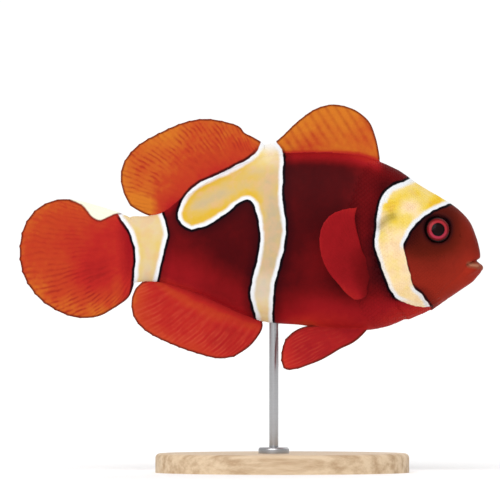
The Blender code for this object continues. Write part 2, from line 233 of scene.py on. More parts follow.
@dataclass(frozen=True)
class Wash:
    """A soft patch on the side of the fish, of one colour's share or of relief."""

    amount: float
    ahead: tuple = ()  # steps along x, as SideView.ahead takes them
    up: tuple = ()  # steps along z
    spot: tuple = ()  # the x, z and reach of a round spot, and the radius of a ring
    column: tuple = ()  # the width and the x of an upright soft column
    under_back: tuple = ()  # the depths below the back where the share is 0 and 1
    over_belly: tuple = ()  # the heights above the belly where the share is 0 and 1

    def over(self, view: SideView) -> Array:
        """Find the wash's strength at each place.

        Args:
            view: The places.

        Returns:
            One value for each.
        """
        made = np.full(len(view.x), float(self.amount)) * view.ahead(*self.ahead) * view.up(*self.up)
        if self.spot:
            made *= view.spot(*self.spot)
        if self.column:
            made *= bell(view.x, *self.column)
        if self.under_back:
            made *= rise(*self.under_back, view.margins[0])
        if self.over_belly:
            made *= rise(*self.over_belly, view.margins[1])
        return made


@dataclass(frozen=True)
class Stripe:
    """A soft stripe along a line on the side of the fish, of one colour's share or of relief."""

    line: tuple
    amount: float
    width: float

    def over(self, view: SideView) -> Array:
        """The stripe's strength at each place."""
        return self.amount * bell(SideLine(self.line).measure(view.flat)[0], self.width)


def washed(view: SideView, washes: tuple, base: float = 0.0) -> Array:
    """A base value with each wash or stripe added to it, at each place."""
    return base + sum((wash.over(view) for wash in washes), np.zeros(len(view.x)))


# The body's form


@dataclass(frozen=True)
class BodyForm:
    """The body from tail stalk to lips, as sections across it."""

    # Each row is the back's x and z, the belly's x and z, and the half width.
    stations: tuple = (
        (-33.2, 7.4, -33.2, -7, 0.9), (-31, 8.7, -31, -8.7, 1.9), (-27, 8.8, -27, -8.4, 2.8),
        (-23, 9.8, -23, -8.8, 3.7), (-18.3, 13.2, -18, -10.2, 4.8), (-13, 16.8, -12.5, -12.2, 6),
        (-7.8, 19.9, -7.3, -14.6, 7.1), (-2.2, 22.6, -2, -17, 8.1), (4.2, 24.6, 4.2, -19.1, 9),
        (12.5, 25.2, 12.8, -19.8, 9.7), (20.5, 25.2, 21.2, -21.1, 10.1), (28, 24.5, 29.3, -21.2, 10.3),
        (33.4, 22.9, 35.3, -20.15, 10.3), (38.6, 20.5, 40.8, -18, 10), (43.9, 16.7, 46.2, -15.9, 9.2),
        (49.2, 13.6, 51.2, -12.8, 7.9), (53.6, 10.7, 55, -10.3, 6.4), (56.8, 7.3, 57.6, -8.5, 5),
        (58.5, 3.4, 58.9, -7, 3.8), (59.4, 0.2, 59.6, -6.2, 2.8), (59.7, -2.2, 59.85, -5.6, 1.5),
    )  # fmt: skip
    fullness: float = 2.15  # 2 makes each section an ellipse, more makes it squarer
    back_taper: float = 0.05  # how much narrower a section is towards the back
    cap: float = 0.03  # how far past each end the place along the body runs, to close it
    cap_bulge: float = 0.5

    def section(self, along: Array) -> Array:
        """The section's row at each place along the body."""
        return cubic(np.array(self.stations), along * (len(self.stations) - 1))

    def surface(self, along: Array, angle: Array, side: Array | float = 1) -> Array:
        """Find points of the surface.

        Args:
            along: Place along the body, 0 at the tail stalk's end and 1 at the lips.
            angle: Turn round the section, from -90 degrees at the belly to 90 at the back.
            side: 1 on the left and -1 on the right.

        Returns:
            One point in millimetres for each place.
        """
        row = self.section(np.clip(along, 0, 1))
        back, belly, half = row[:, :2], row[:, 2:4], row[:, 4]
        front, rear = (np.pi / 2 * np.clip(past / self.cap, 0, 1) for past in (along - 1, -along))
        trim = np.cos(np.maximum(front, rear))
        bulge = self.cap_bulge * (np.sin(front) - np.sin(rear))
        power = 2 / self.fullness
        height = np.sign(np.sin(angle)) * np.abs(np.sin(angle)) ** power * trim
        width = np.abs(np.cos(angle)) ** power * trim
        flat = (back + belly) / 2 + (back - belly) / 2 * height[:, None]
        across = side * half * width * (1 - self.back_taper * height)
        return np.stack([flat[:, 0] + bulge, across, flat[:, 1]], axis=1)

    def slopes(self, along: Array, angle: Array, step: float, side: Array | float = 1) -> tuple[Array, Array]:
        """Find how the surface runs on along the body and round it.

        Args:
            along: Place along the body.
            angle: Turn round the section.
            step: How far to look to each side, in both.
            side: 1 on the left and -1 on the right.

        Returns:
            The two moves across twice that step, for each place.
        """
        run = self.surface(along + step, angle, side) - self.surface(along - step, angle, side)
        turn = self.surface(along, angle + step, side) - self.surface(along, angle - step, side)
        return run, turn

    def frame(self, along: Array, angle: Array, side: Array | float) -> tuple[Array, Array]:
        """Find points of the surface and the directions straight out of it.

        Args:
            along: Place along the body.
            angle: Turn round the section.
            side: 1 on the left and -1 on the right.

        Returns:
            The points, and one unit direction for each.
        """
        step = 0.002
        off_middle = np.clip(angle, step - np.pi / 2, np.pi / 2 - step)
        out = np.cross(*self.slopes(along, off_middle, step, side)) * -np.reshape(side, (-1, 1))
        out[np.abs(angle) > np.pi / 2 - 1e-4, 1] = 0
        size = np.linalg.norm(out, axis=1, keepdims=True)
        return self.surface(along, angle, side), out / np.maximum(size, 1e-12)

    def at(self, x: Array, z: Array) -> tuple[Array, Array]:
        """Find the place on the body of a point of the side view.

        Args:
            x: Distances along the fish.
            z: Heights above its long axis.

        Returns:
            The place along the body and the turn round the section.
        """
        low, high = np.zeros(len(x)), np.ones(len(x))
        for _ in range(30):
            along = (low + high) / 2
            row = self.section(along)
            ahead = (x - row[:, 2]) * (row[:, 1] - row[:, 3]) - (z - row[:, 3]) * (row[:, 0] - row[:, 2])
            low, high = np.where(ahead > 0, along, low), np.where(ahead > 0, high, along)
        row = self.section(low)
        height = np.clip(2 * (z - row[:, 3]) / (row[:, 1] - row[:, 3]) - 1, -1, 1)
        return low, np.arcsin(np.sign(height) * np.abs(height) ** (self.fullness / 2))

    def flank(self, x: float, z: float) -> float:
        """The body's half width at a point of the side view."""
        along, angle = self.at(np.array([x]), np.array([z]))
        return float(self.surface(along, angle)[0, 1])


BODY = BodyForm()


@dataclass(frozen=True)
class Plate:
    """A bony plate of the head: the skin rises to its free edge and drops behind it."""

    line: tuple
    step: float  # half of the drop
    fade: float  # how far in front of the edge the rise starts
    top: tuple  # the heights between which the edge fades out
    edge: float = 0.16
    hollow: float = 1.1  # how far behind the edge the skin stays low

    def lift(self, view: SideView) -> Array:
        """Find the lift of the skin.

        Args:
            view: The places.

        Returns:
            The lift at each, in millimetres.
        """
        signed = SideLine(self.line).measure(view.flat)[2]
        front = 0.5 * (1 + np.tanh(signed / self.edge))
        swell = front * np.exp(-np.maximum(signed, 0) / self.fade)
        drop = (1 - front) * np.exp(np.minimum(signed, 0) / self.hollow)
        return self.step * (swell - drop) * view.up(*self.top)


@dataclass(frozen=True)
class Relief:
    """What stands out from the head, or is let into it, on top of the body's plain form."""

    rear_end: float = 24.0
    plates: tuple = (
        Plate(
            ((37.4, 26), (35.8, 17), (32.8, 9.6), (31.7, 2.3), (33, -5), (36.6, -12), (43, -22)),
            step=0.36, fade=5.0, top=(19, 14),
        ),
        Plate(
            ((38, 14.2), (39.6, 8.4), (40.2, 0.6), (41.4, -6.4), (44, -12), (46.4, -15.4)),
            step=0.2, fade=3.5, top=(13, 9),
        ),
    )  # fmt: skip
    folds: tuple = (
        Stripe(((55.4, -5), (54, -6.6), (51.8, -8.6), (49, -11)), -0.16, width=0.34),
        Stripe(((54.6, -0.8), (52.9, -2), (51.9, -3.7), (52.4, -5.6)), 0.15, width=0.42),
        Stripe(((55.4, 0.6), (51.6, -0.8), (48.6, -1.6), (45.6, -2.8)), 0.13, width=0.55),
    )
    eye_place: tuple = (48.3, 5.15)
    eye_radius: float = 3.6
    eye_depth_radius: float = 2.2
    eye_sink: float = 1.0
    eye_rims: tuple = (Wash(0.24, spot=(*eye_place, 0.42, 3.85)), Wash(0.22, spot=(*eye_place, 6.5)))
    socket_depth: float = 2.1
    socket_edge: tuple = (3.55, 3)  # the distances from its middle between which it deepens
    nostril: tuple = (54.2, 3.6)
    nostril_form: tuple = (Wash(0.14, spot=(*nostril, 0.2, 0.5)), Wash(-0.4, spot=(*nostril, 0.26)))
    cheek: Wash = Wash(0.2, spot=(46.2, -7, 4.2))
    throat_line: tuple = ((36, -17.4), (42, -16), (49, -12.6))
    throat_ribs: float = 0.07
    throat_pitch: float = 1.1
    throat_reach: tuple = (3.2, 0.6)  # the distances from its line between which the ribs set in
    mouth_line: tuple = ((55.2, -4.6), (56.6, -3.9), (58.3, -3.1), (60, -2.9), (62, -2.9))
    mouth_depth: float = 1.8
    corner_depth: float = 0.2  # share of that at the mouth's corner
    corner_reach: float = 0.12  # share of the mouth's line over which the slit sets in
    corner_starts: tuple = (54.6, 55.8)  # the x between which it does
    slit: float = 0.17  # half the mouth's gap at its corner
    upper_gape: float = 0.62
    lower_gape: float = 1.25
    gape_curve: float = 1.6  # 1 opens the mouth evenly towards the front, more opens it late
    lips_start: tuple = (54.9, 56.8)
    # Each lip's height, its width, and how far its middle lies above the mouth's line.
    upper_lip: tuple = (0.2, 0.5, 0.95)
    lower_lip: tuple = (0.5, 0.8, -1.75)
    upper_lip_ends: tuple = (59.8, 58.6)
    lower_lip_sinks: tuple = (58, 59.8)
    lower_lip_sunk: float = 0.3

    def lift(self, place: Array) -> Array:
        """Find how far the skin stands above the plain form.

        Args:
            place: Points of the plain form.

        Returns:
            The lift in millimetres, negative where the skin is let in.
        """
        lift = np.zeros(len(place))
        near = place[:, 0] > self.rear_end
        view = SideView(place[near][:, [0, 2]])
        lift[near] = self._orbit(view) + self._mouth(view) + self._folds(view)
        lift[near] += sum(plate.lift(view) for plate in self.plates)
        return lift

    def _orbit(self, view: SideView) -> Array:
        """The eye's socket and the soft rim round it.

        Args:
            view: The places.

        Returns:
            The lift at each.
        """
        radius = np.hypot(view.x - self.eye_place[0], view.z - self.eye_place[1])
        return washed(view, self.eye_rims) - self.socket_depth * rise(*self.socket_edge, radius)

    def _mouth(self, view: SideView) -> Array:
        """The mouth's slit, which opens towards the front, between two lips.

        Args:
            view: The places.

        Returns:
            The lift at each.
        """
        away, share, signed = SideLine(self.mouth_line).measure(view.flat)
        gape = np.where(signed > 0, self.upper_gape, self.lower_gape)
        opening = self.slit + gape * share**self.gape_curve
        depth = self.mouth_depth * (self.corner_depth + (1 - self.corner_depth) * share)
        starts = rise(0, self.corner_reach, share) * view.ahead(*self.corner_starts)
        cut = depth * bell(away, opening) * starts
        height, *place = self.upper_lip
        upper = height * bell(signed, *place) * view.ahead(*self.upper_lip_ends)
        height, *place = self.lower_lip
        lower = (height - self.lower_lip_sunk * view.ahead(*self.lower_lip_sinks)) * bell(signed, *place)
        return (upper + lower) * view.ahead(*self.lips_start) - cut

    def _folds(self, view: SideView) -> Array:
        """Folds of the jaw and cheek, the nostril, the cheek's swell and the throat's ribs.

        Args:
            view: The places.

        Returns:
            The lift at each.
        """
        throat = SideLine(self.throat_line).measure(view.flat)[0]
        ribs = self.throat_ribs * np.cos(2 * np.pi * throat / self.throat_pitch)
        folds = washed(view, (*self.folds, *self.nostril_form, self.cheek))
        return folds - ribs * rise(*self.throat_reach, throat)


RELIEF = Relief()


# The markings


@dataclass(frozen=True)
class Markings:
    """The gold bands, and the washes of colour over flank, head and bands."""

    # Each marking's outline, as smooth lines from corner to corner.
    head_front: tuple = (
        (46.4, -14.9), (44.1, -11.8), (41.8, -9.3), (40.75, -5.5), (39.65, -1.3), (39.25, 0.8), (40.15, 3.3),
        (42.8, 7), (46.8, 10), (51.7, 12.1), (55.5, 14.2),
    )  # fmt: skip
    head_rear: tuple = (
        (44, 23), (41.1, 18.4), (36.1, 16.2), (33.7, 13.2), (32.7, 10), (32.2, 4.9), (31.9, 1.6),
        (32.9, -2.4), (34.8, -7.6), (36.7, -11.7), (39.3, -13.6), (42.4, -14.7), (46.4, -14.9),
    )  # fmt: skip
    middle: tuple = (
        ((2.7, 32), (2.3, 27.4), (-0.3, 23.9), (-7, 20.2), (-13.3, 17.4), (-17.3, 13.7), (-19, 9.6),
         (-18.4, 6.8), (-15.6, 5.1)),
        ((-15.6, 5.1), (-11.2, 6.5), (-7, 9.2), (-2.9, 12.3), (-0.6, 12.9), (1, 11.4)),
        ((1, 11.4), (2.2, 5.4), (2, -0.8), (0.5, -7), (-0.2, -12.2), (1.2, -17.4), (2.6, -23)),
        ((5.6, -23), (5.4, -15.4), (5.9, -9.1), (7.5, -2.9), (8.9, 4.4), (8, 12.6), (8.1, 20), (8.2, 25),
         (6.3, 28.4), (6.6, 32)),
    )  # fmt: skip
    tail: tuple = (
        ((-35, 9.4), (-33.6, 7.5), (-31.6, 4.4), (-30.5, 1), (-30, -1.8), (-30.4, -5.6), (-31, -12)),
        ((-25.6, -12), (-24.2, -6.5), (-23.1, -1.8), (-22.1, 2.8), (-21.9, 4.6), (-23.2, 9.1), (-24.5, 12)),
    )
    tail_notch: tuple = (
        (-32.2, 10.6), (-34.4, 9.35), (-36.1, 9.05), (-37.7, 8.2), (-39.3, 7.4), (-40.9, 8.1), (-42.5, 9.7),
        (-43.9, 11.5), (-45.5, 12.15), (-47.2, 12.9), (-47.6, 14),
    )  # fmt: skip
    rear_corner: tuple = ((34.4, 12.6), (35.6, 15), (38.4, 16.6), (42.6, 18.2))
    smudge: Stripe = Stripe(((33.2, 6), (34.6, 7.6), (36.6, 8.6)), 0.55, width=1.1)
    lower_lip: Stripe = Stripe(((55.9, -3.9), (57.4, -4.1), (58.8, -4.4), (60.6, -4.6)), 0.5, width=0.8)
    lower_lip_starts: tuple = (55.2, 56.2)
    # A painted highlight along the lower lip.
    lip_sheen: Stripe = Stripe(((56.7, -3.9), (58.6, -4.1)), 0.45, width=0.55)
    face_starts: tuple = (36, 39)
    face_edge: tuple = (-0.6, 0.6)  # the distances behind the head band's front edge where it ends
    # The strip of body colour at the front dorsal fin's foot: its warmth, the height of its top, from
    # which x and how fast that falls, and the heights over the top between which the strip sets in.
    strip_warmth: float = 0.55
    strip_top: tuple = (24.9, 24, 0.026)
    strip_edge: tuple = (1.2, -0.9)
    # The x between which the tail fin takes its root's warmth, and how dark its streaks are from the
    # top edge to the bottom one.
    tail_root_ends: tuple = (-37.5, -34)
    tail_streaks: tuple = (0.45, 1.55)
    tail_streak_turn: tuple = (0.4, 0.8)
    tail_root: tuple = (
        Wash(0.2, ahead=(-31.5, -36.5)), Wash(0.16, up=(-3, -10)), Wash(0.1, up=(6, 9)),
    )  # fmt: skip
    tail_root_warmth: float = 0.56
    stalk_ends: float = -29.0
    flank_warmth: float = 0.12
    # The underside's added warmth, the sines of the turn between which it sets in, and from which x.
    underside: float = 0.2
    underside_turn: tuple = (-0.45, -1)
    underside_starts: tuple = (-2, 3)
    flank: tuple = (
        Wash(0.34, ahead=(1, 17), up=(-7, -16)),
        Wash(0.2, ahead=(3, 7, 21, 13), over_belly=(4.5, 0.5)),
        Wash(0.1, ahead=(30, 40), up=(-12, -16)),
        Wash(0.16, column=(4, 29.5), up=(-6, 4)),
        Wash(0.22, ahead=(-6, -26)),
        # Warmer below the pectoral fin: partly the flank's colour, partly painted light that offsets the
        # fin's shadow.
        Wash(0.19, spot=(18, -4.5, 6)),
    )
    edges: tuple = (
        Wash(0.42, ahead=(3, 6, 35, 32), under_back=(4.2, 0.6)),
        Wash(-0.05, column=(3, -19.5)),
        Wash(0.14, ahead=(29, 34), under_back=(6, 2)),
        Wash(0.26, ahead=(3, -2, -32, -28), under_back=(3, -0.2)),
        Wash(0.3, ahead=(3, -2, -32, -28), over_belly=(14, 3)),
        Wash(0.14, ahead=(3, -2, -32, -28), over_belly=(3, 0)),
    )
    face_brown: float = 0.36
    brown: tuple = (
        Wash(0.34, up=(2, -5)),
        Wash(0.25, ahead=(51, 57)),
        Wash(0.16, up=(-4, -9)),
        Wash(-0.3, spot=(*RELIEF.eye_place, 2.4, 2.6)),
        Wash(-0.26, ahead=(47, 42), up=(-4, 4)),
        Wash(-0.08, spot=(45, -1.6, 3)),
    )
    # Painted shade round the eye: a dark ring where the socket's gap lies, and patches above it.
    eye_shade: tuple = (
        Wash(0.85, spot=(*RELIEF.eye_place, 0.6, 3.4)),
        Wash(0.4, spot=(45.8, 7.6, 2.6)),
        Wash(0.45, spot=(50.9, 7.6, 2.3)),
    )
    pale_top: tuple = (Wash(0.15, up=(18, 24)), Wash(0.7, up=(24.4, 27.4)))
    # Paler at the middle band's foot: painted light that offsets the shade under the belly.
    pale_foot: Wash = Wash(0.26, column=(6, 3), up=(-4, -9, -17, -12))
    corner_pale: float = 0.8
    corner_reach: tuple = (0.95, 0.45)  # the distances from the rear corner between which it pales
    head_from: float = 20.0  # the x that parts the head band from the middle one
    head_gold: float = 0.3
    body_gold: float = 0.18
    inner_gold: tuple = (0.2, 0.9, 1.6)  # a richer line inside the rim: its amount, width and depth
    arm: Wash = Wash(1, ahead=(-21, -19), up=(3, 8))
    arm_gold: tuple = (
        Wash(0.48, ahead=(6.5, -2.5)),
        Stripe(((-15.2, 10.8), (-11.4, 12.2), (-7.4, 14.4)), -0.28, width=1.4),
    )
    # Where the head band is outlined along its front edge, and along its rear one; the least that
    # the front edge keeps of its outline, and of its pale rim, which is as wide as is given.
    front_outline: tuple = (Wash(1, up=(-0.8, 1.6)), Wash(0.9, up=(-8.6, -10.4)))
    rear_outline: Wash = Wash(1, up=(-14.2, -12.4))
    least_outline: float = 0.06
    least_rim: float = 0.12
    rim_width: float = 1.6
    head_reach: float = 6.0  # how far from the head band all this holds
    foot_from: float = 1.0  # how far behind the front edge the rim is lost at the band's foot
    foot_loss: Wash = Wash(0.85, up=(-12.6, -13.8))
    rear_loss: Wash = Wash(0.3, up=(3, -3, -13, -9))
    fin_outline: Wash = Wash(0.75, up=(27.5, 24))  # on the fins, over what every fin keeps of it
    fin_outline_least: float = 0.15
    notch_loss: Wash = Wash(1, up=(8, 9.2))  # how the tail band's outline ends at the notch
    notch_before: float = -30.0
    halo: float = 0.42
    head_halo: Wash = Wash(1, up=(13, 7))
    body_halo: Wash = Wash(1, ahead=(-29, -26))
    bright: tuple = (
        Wash(1, ahead=(20, 30)),
        Wash(0.4, ahead=(-20, -24)),
        # The middle band's top and foot are brightened: painted light that offsets the shade at the fins'
        # roots and under the belly.
        Wash(0.8, column=(8, 3), up=(20, 24.5)),
        Wash(0.5, column=(8, 3), up=(-10, -15)),
    )
    # Each row is the x and z of a spot of gold, how much it adds, and its reach.
    gold_spots: tuple = (
        (36, 11.2, 0.6, 2.1), (38.8, 14, 0.34, 2.4), (43.2, 14.6, 0.46, 2.4), (48.4, 12.4, 0.72, 2.4),
        (45.6, 11, 0.3, 2.2), (40.1, 7.6, 0.38, 2.2), (36.6, 7.4, 0.38, 2), (41.2, 11, -0.2, 2),
        (36.9, 0.2, -0.06, 3), (37.6, -5, 0.08, 2.2), (33.8, 3.6, 0.26, 1.6), (42, -12, -0.06, 2.4),
        (-15.4, 8.6, 0.36, 2.8), (-9.4, 8.6, 0.22, 2.6), (4.2, 21.2, 0.4, 2.6), (7, 15.6, 0.36, 2),
        (0.6, 13.6, 0.3, 3.4), (3, -13.6, 0.1, 3), (4.6, 2, -0.06, 4), (-25.5, 0, 0.2, 4), (-27, 5, 0.2, 3),
    )  # fmt: skip

    def depths(self, flat: Array) -> tuple[Array, ...]:
        """The depth in the head band, the middle band, the tail band and the tail's pale notch."""
        outlines = (self.head_rear, self.head_front), self.middle, self.tail, (self.tail_notch,)
        return tuple(SideLine(*lines, steps=26, closed=True).depth(flat) for lines in outlines)

    def root_warmth(self, view: SideView) -> Array:
        """The warmth where the tail leaves its stalk, on stalk and fin alike."""
        return washed(view, self.tail_root, self.tail_root_warmth)

    def body_warmth(self, view: SideView) -> Array:
        """Find how far from maroon towards orange the body is.

        Args:
            view: The places.

        Returns:
            0 for deep maroon to 1 for orange, at each place.
        """
        turned = rise(*self.underside_turn, np.sin(view.on_body[1]))
        underside = self.underside * turned * view.ahead(*self.underside_starts)
        warmth = washed(view, self.flank, self.flank_warmth) + underside
        warmth = np.where(view.x < self.stalk_ends, self.root_warmth(view), warmth)
        return np.clip(warmth + washed(view, self.edges), 0, 1)


MARKINGS = Markings()


# Fins


@dataclass(frozen=True)
class FinForm:
    """One fin, as a sheet between four edges, ribbed by its rays."""

    # The edges are the root from front to rear, the leading edge from the root out, the margin
    # from front to rear, and the trailing edge from the root out.
    edges: tuple
    rays: int
    rows: int
    columns_per_ray: int = 6
    stance: Stance = Stance.MIDLINE
    side: Side = Side.LEFT
    root: tuple = ()  # where a paired fin leaves the body: x and z where flared, y and z where splayed
    turn: float = 0.0  # how far a paired fin is turned from the body, in radians
    root_half: float = 0.8
    root_fade: float = 13.0
    edge_half: float = 0.11
    swell: float = 0.2
    rib: float = 0.05
    rib_sharpness: float = 3.0
    rib_starts: tuple = (0.02, 0.12)  # the shares outwards between which the ribs set in
    rib_loss: float = 0.45  # share of their height that they have lost by the margin
    incision: float = 0.008  # share of the fin's reach cut from its margin between two rays
    incision_starts: float = 0.6
    rim_starts: float = 0.965  # share of the way to the outline from which the sheet thins
    rim_loss: float = 0.6  # share of its thickness that it has lost by the outline
    wave: float = 0.25
    waves: tuple = (1.7, 0.35)  # how many run backwards and outwards
    wave_curve: float = 1.5  # 1 lets the wave grow evenly outwards, more lets it grow late
    warmth: tuple = ()  # shares outwards, and the warmth there
    rear_warmth: float = 0.0
    washes: tuple = ()  # patches that are warmer or cooler
    streak: float = 0.2  # how dark the lines between the rays are, or how pale where negative
    forked: float = 1.0  # 1 where the rays fork on their way out
    lean: float = 0.0  # share of the fin that the rays drift back on their way out
    slant: float = 0.0  # where given, the rays run straight, this far back for each millimetre up
    spacing: float = 2.6  # between two such rays

    def sheet(self, out: Array, back: Array) -> Array:
        """Find points of the flat sheet between the four edges.

        Args:
            out: Shares of the way from the root to the margin.
            back: Shares of the way from the leading to the trailing edge.

        Returns:
            The two flat coordinates of each point.
        """
        root, leading, margin, trailing = self.edges
        o, b = out[:, None], back[:, None]
        across = on_line(root, back) * (1 - o) + on_line(margin, back) * o
        outward = on_line(leading, out) * (1 - b) + on_line(trailing, out) * b
        near, far = (np.array(edge[0]) * (1 - b) + np.array(edge[-1]) * b for edge in (root, margin))
        return across + outward - near * (1 - o) - far * o

    def stand(self, flat: Array, across: Array) -> Array:
        """Stand the sheet on the body.

        Args:
            flat: The sheet's flat coordinates.
            across: The distance off the sheet.

        Returns:
            Points in millimetres.
        """
        first, second = flat.T
        if self.stance is Stance.MIDLINE:
            return np.stack([first, across, second], axis=1)
        flared = self.stance is Stance.FLARED
        reach = first if flared else second
        sine, cosine = math.sin(self.turn), math.cos(self.turn)
        off, on = reach * sine + across * cosine, across * sine - reach * cosine
        y = self.side.value * ((BODY.flank(*self.root) if flared else self.root[0]) + off)
        columns = (self.root[0] + on, y, second) if flared else (first, y, self.root[1] + on)
        return np.stack(columns, axis=1)

    def points(self, out: Array, back: Array, face: Array) -> Array:
        """Find points of the finished fin.

        Args:
            out: Shares of the way from the root to the margin.
            back: Shares of the way from the leading to the trailing edge.
            face: 1 on one face of the sheet and -1 on the other.

        Returns:
            Points in millimetres.
        """
        ridge = np.exp(self.rib_sharpness * (np.cos(2 * np.pi * self.ray(out, back)) - 1))
        trimmed = out * (1 - self.incision * (1 - ridge) * rise(self.incision_starts, 1, out))
        flare = self.root_half - self.edge_half - self.swell
        half = self.edge_half + self.swell * (1 - out) + flare * np.exp(-out * self.root_fade)
        half += self.rib * ridge * rise(*self.rib_starts, out) * (1 - self.rib_loss * out)
        half *= 1 - self.rim_loss * rise(self.rim_starts, 1, np.maximum(out, np.abs(2 * back - 1)))
        backwards, outwards = self.waves
        phase = 2 * np.pi * (backwards * back + outwards * out)
        sway = self.wave * np.sin(phase) * out**self.wave_curve
        return self.stand(self.sheet(trimmed, back), face * half + sway)

    def ray(self, out: Array, back: Array) -> Array:
        """Find the place across the fin, counted in rays.

        Args:
            out: Shares of the way from the root to the margin.
            back: Shares of the way from the leading to the trailing edge.

        Returns:
            One count for each place.
        """
        if self.slant:
            return -(self.sheet(out, back) @ (1, self.slant)) / self.spacing
        return (back - self.lean * out) * self.rays

    def warm(self, out: Array, back: Array) -> Array:
        """The fin's warmth, by shares outwards and backwards."""
        return np.interp(out, *zip(*self.warmth)) + self.rear_warmth * back * out

    def gap(self, out: Array, back: Array) -> Array:
        """Measure the distance to the fin's outline.

        Args:
            out: Shares of the way from the root to the margin.
            back: Shares of the way from the leading to the trailing edge.

        Returns:
            One distance in millimetres for each place.
        """
        _, leading, margin, trailing = self.edges
        runs = [on_line(line, np.linspace(0, 1, 40)) for line in (leading, margin, trailing[::-1])]
        outline = SideLine(np.concatenate([runs[0], runs[1][1:], runs[2][1:]]), steps=120)
        return outline.measure(self.sheet(out, back))[0]


def paired(**sizes: object) -> list[FinForm]:
    """The same fin on the left and on the right, from its sizes."""
    return [FinForm(side=side, root_half=0.6, **sizes) for side in Side]


# The front and rear dorsal fins, the tail fin, the anal fin, and the pectoral and pelvic pairs.
FINS = [
    FinForm(
        (
            ((33.6, 21.3), (20, 23.4), (3.4, 22.6)),
            ((33.6, 21.3), (33.1, 25.4), (32.2, 29.4), (30.6, 33.2), (27.4, 36), (24, 37.4)),
            ((24, 37.4), (20.5, 37.7), (16.2, 36.4), (11.8, 33.2), (8, 29.5), (6, 28), (3.4, 27.3)),
            ((3.4, 22.6), (3.4, 27.3)),
        ),
        rays=11, rows=34, columns_per_ray=8, incision=0.006, streak=0.1, forked=0, slant=0.64,
        warmth=((0, 0.92), (0.4, 0.96), (1, 1)),
    ),
    FinForm(
        (
            ((3.8, 22.6), (-8, 18.2), (-16, 12.8), (-23.5, 7.6)),
            ((3.8, 22.6), (3.6, 26.9)),
            ((3.6, 26.9), (2.6, 27.9), (0.7, 29.1), (-1.8, 30.4), (-3.9, 32.4), (-11, 34), (-17, 33.3),
             (-23.2, 30.8), (-29.4, 27.3), (-33, 23.2), (-34.1, 19), (-33.3, 14.8), (-31.6, 11.4)),
            ((-23.5, 7.6), (-28.2, 9.4), (-31.6, 11.4)),
        ),
        rays=19, rows=44, streak=0.12, rear_warmth=0.04, lean=0.09,
        warmth=((0, 0.7), (0.12, 0.79), (0.3, 0.84), (0.6, 0.88), (1, 0.93)),
        washes=(Wash(-0.08, spot=(-20.6, 9.4, 3.2)), Wash(0.19, spot=(-28.4, 10.8, 4))),
    ),
    FinForm(
        (
            ((-30, 7.4), (-29.4, 0), (-30, -7.2)),
            ((-30, 7.4), (-32.6, 8.8), (-35, 9.8), (-40.6, 11.6)),
            ((-40.6, 11.6), (-46, 12.9), (-51, 12.9), (-55.9, 10.6), (-59.2, 6.2), (-60.45, 0.6), (-60, -5),
             (-57.7, -10), (-53.3, -14.5), (-46.6, -17.6), (-40.2, -17.55), (-35.2, -15)),
            ((-30, -7.2), (-31.8, -12.2), (-35.2, -15)),
        ),
        rays=19, rows=50, root_half=1.2, root_fade=6, streak=0.13,
        warmth=((0, 0.5), (0.1, 0.56), (0.2, 0.74), (0.5, 0.8), (0.8, 0.86), (1, 0.9)),
        washes=(Wash(-0.07, spot=(-41.5, -6, 5.5)), Wash(0.03, up=(-7, -13))),
    ),
    FinForm(
        (
            ((2.6, -17.4), (-8, -13.4), (-16, -9.8), (-24.4, -7.2)),
            ((2.6, -17.4), (2.9, -20), (1.9, -22.3), (-0.6, -25.3), (-4.6, -28)),
            ((-4.6, -28), (-9, -28.4), (-15, -26.9), (-21, -24.7), (-27, -21.7), (-30.4, -18.2),
             (-31.3, -14.2), (-30.4, -10.6), (-28.4, -8.4)),
            ((-24.4, -7.2), (-28.4, -8.4)),
        ),
        rays=16, rows=36, streak=-0.15, rear_warmth=0.18, forked=0.7,
        # Warmer near the root: partly the fin's colour, partly painted light that offsets the shade under the
        # belly.
        warmth=((0, 0.58), (0.12, 0.68), (0.2, 0.78), (0.28, 0.78), (0.4, 0.68), (0.7, 0.67), (0.88, 0.71),
                (1, 0.76)),
    ),
    *paired(
        edges=(
            ((-1.2, -3.6), (-0.8, -8), (0.2, -12.2)),
            ((-1.2, -3.6), (1, -0.8), (2.2, 2.6), (3.2, 6), (3.5, 8.6), (2.8, 10.9)),
            ((2.8, 10.9), (6.8, 10.4), (10.6, 9), (13.2, 6.4), (14.3, 3), (14, -0.8), (12.6, -4.2),
             (10.5, -6.9), (8.3, -9), (6.2, -11.2), (3.6, -13)),
            ((0.2, -12.2), (1.8, -12.9), (3.6, -13)),
        ),
        stance=Stance.FLARED, root=(29.6, -8), turn=math.radians(32), rays=16, rows=30, columns_per_ray=5,
        wave=0.15, streak=0.05, warmth=((0, 0.2), (0.4, 0.52), (1, 0.6)), washes=(Wash(0.08, up=(-6, -12)),),
    ),
    *paired(
        edges=(
            ((30.8, 0.5), (27.2, 0), (23.6, 0)),
            ((30.8, 0.5), (28.7, 3.1), (26.3, 5.2), (23, 6.9), (20.4, 8.6), (17.4, 10.3), (12, 12.5)),
            ((12, 12.5), (8.9, 12.7), (7.7, 10.8), (7.8, 7.6), (8.7, 4.4)),
            ((23.6, 0), (18.6, 0.2), (14.4, 0.6), (11.2, 2), (8.7, 4.4)),
        ),
        stance=Stance.SPLAYED, root=(2.2, -19.4), turn=math.radians(22), rays=6, rows=28, columns_per_ray=7,
        # Warmer at the root: partly the fin's colour, partly painted light that offsets the shade under the
        # belly.
        wave=0.1, streak=-0.07, warmth=((0, 0.6), (0.5, 0.61), (0.8, 0.65), (1, 0.76)),
    ),
]  # fmt: skip
FRONT_DORSAL, TAIL = 1, 3  # the numbers of two of them, counted from 1
NO_MARK, NO_EDGE = -50.0, 9.0  # the depth in a marking and the distance to an edge where there is none


# Meshes


def to_frame(points: Array) -> Array:
    """Take points from the fish's own millimetres to the frame's metres."""
    return (points + AXIS) * MM


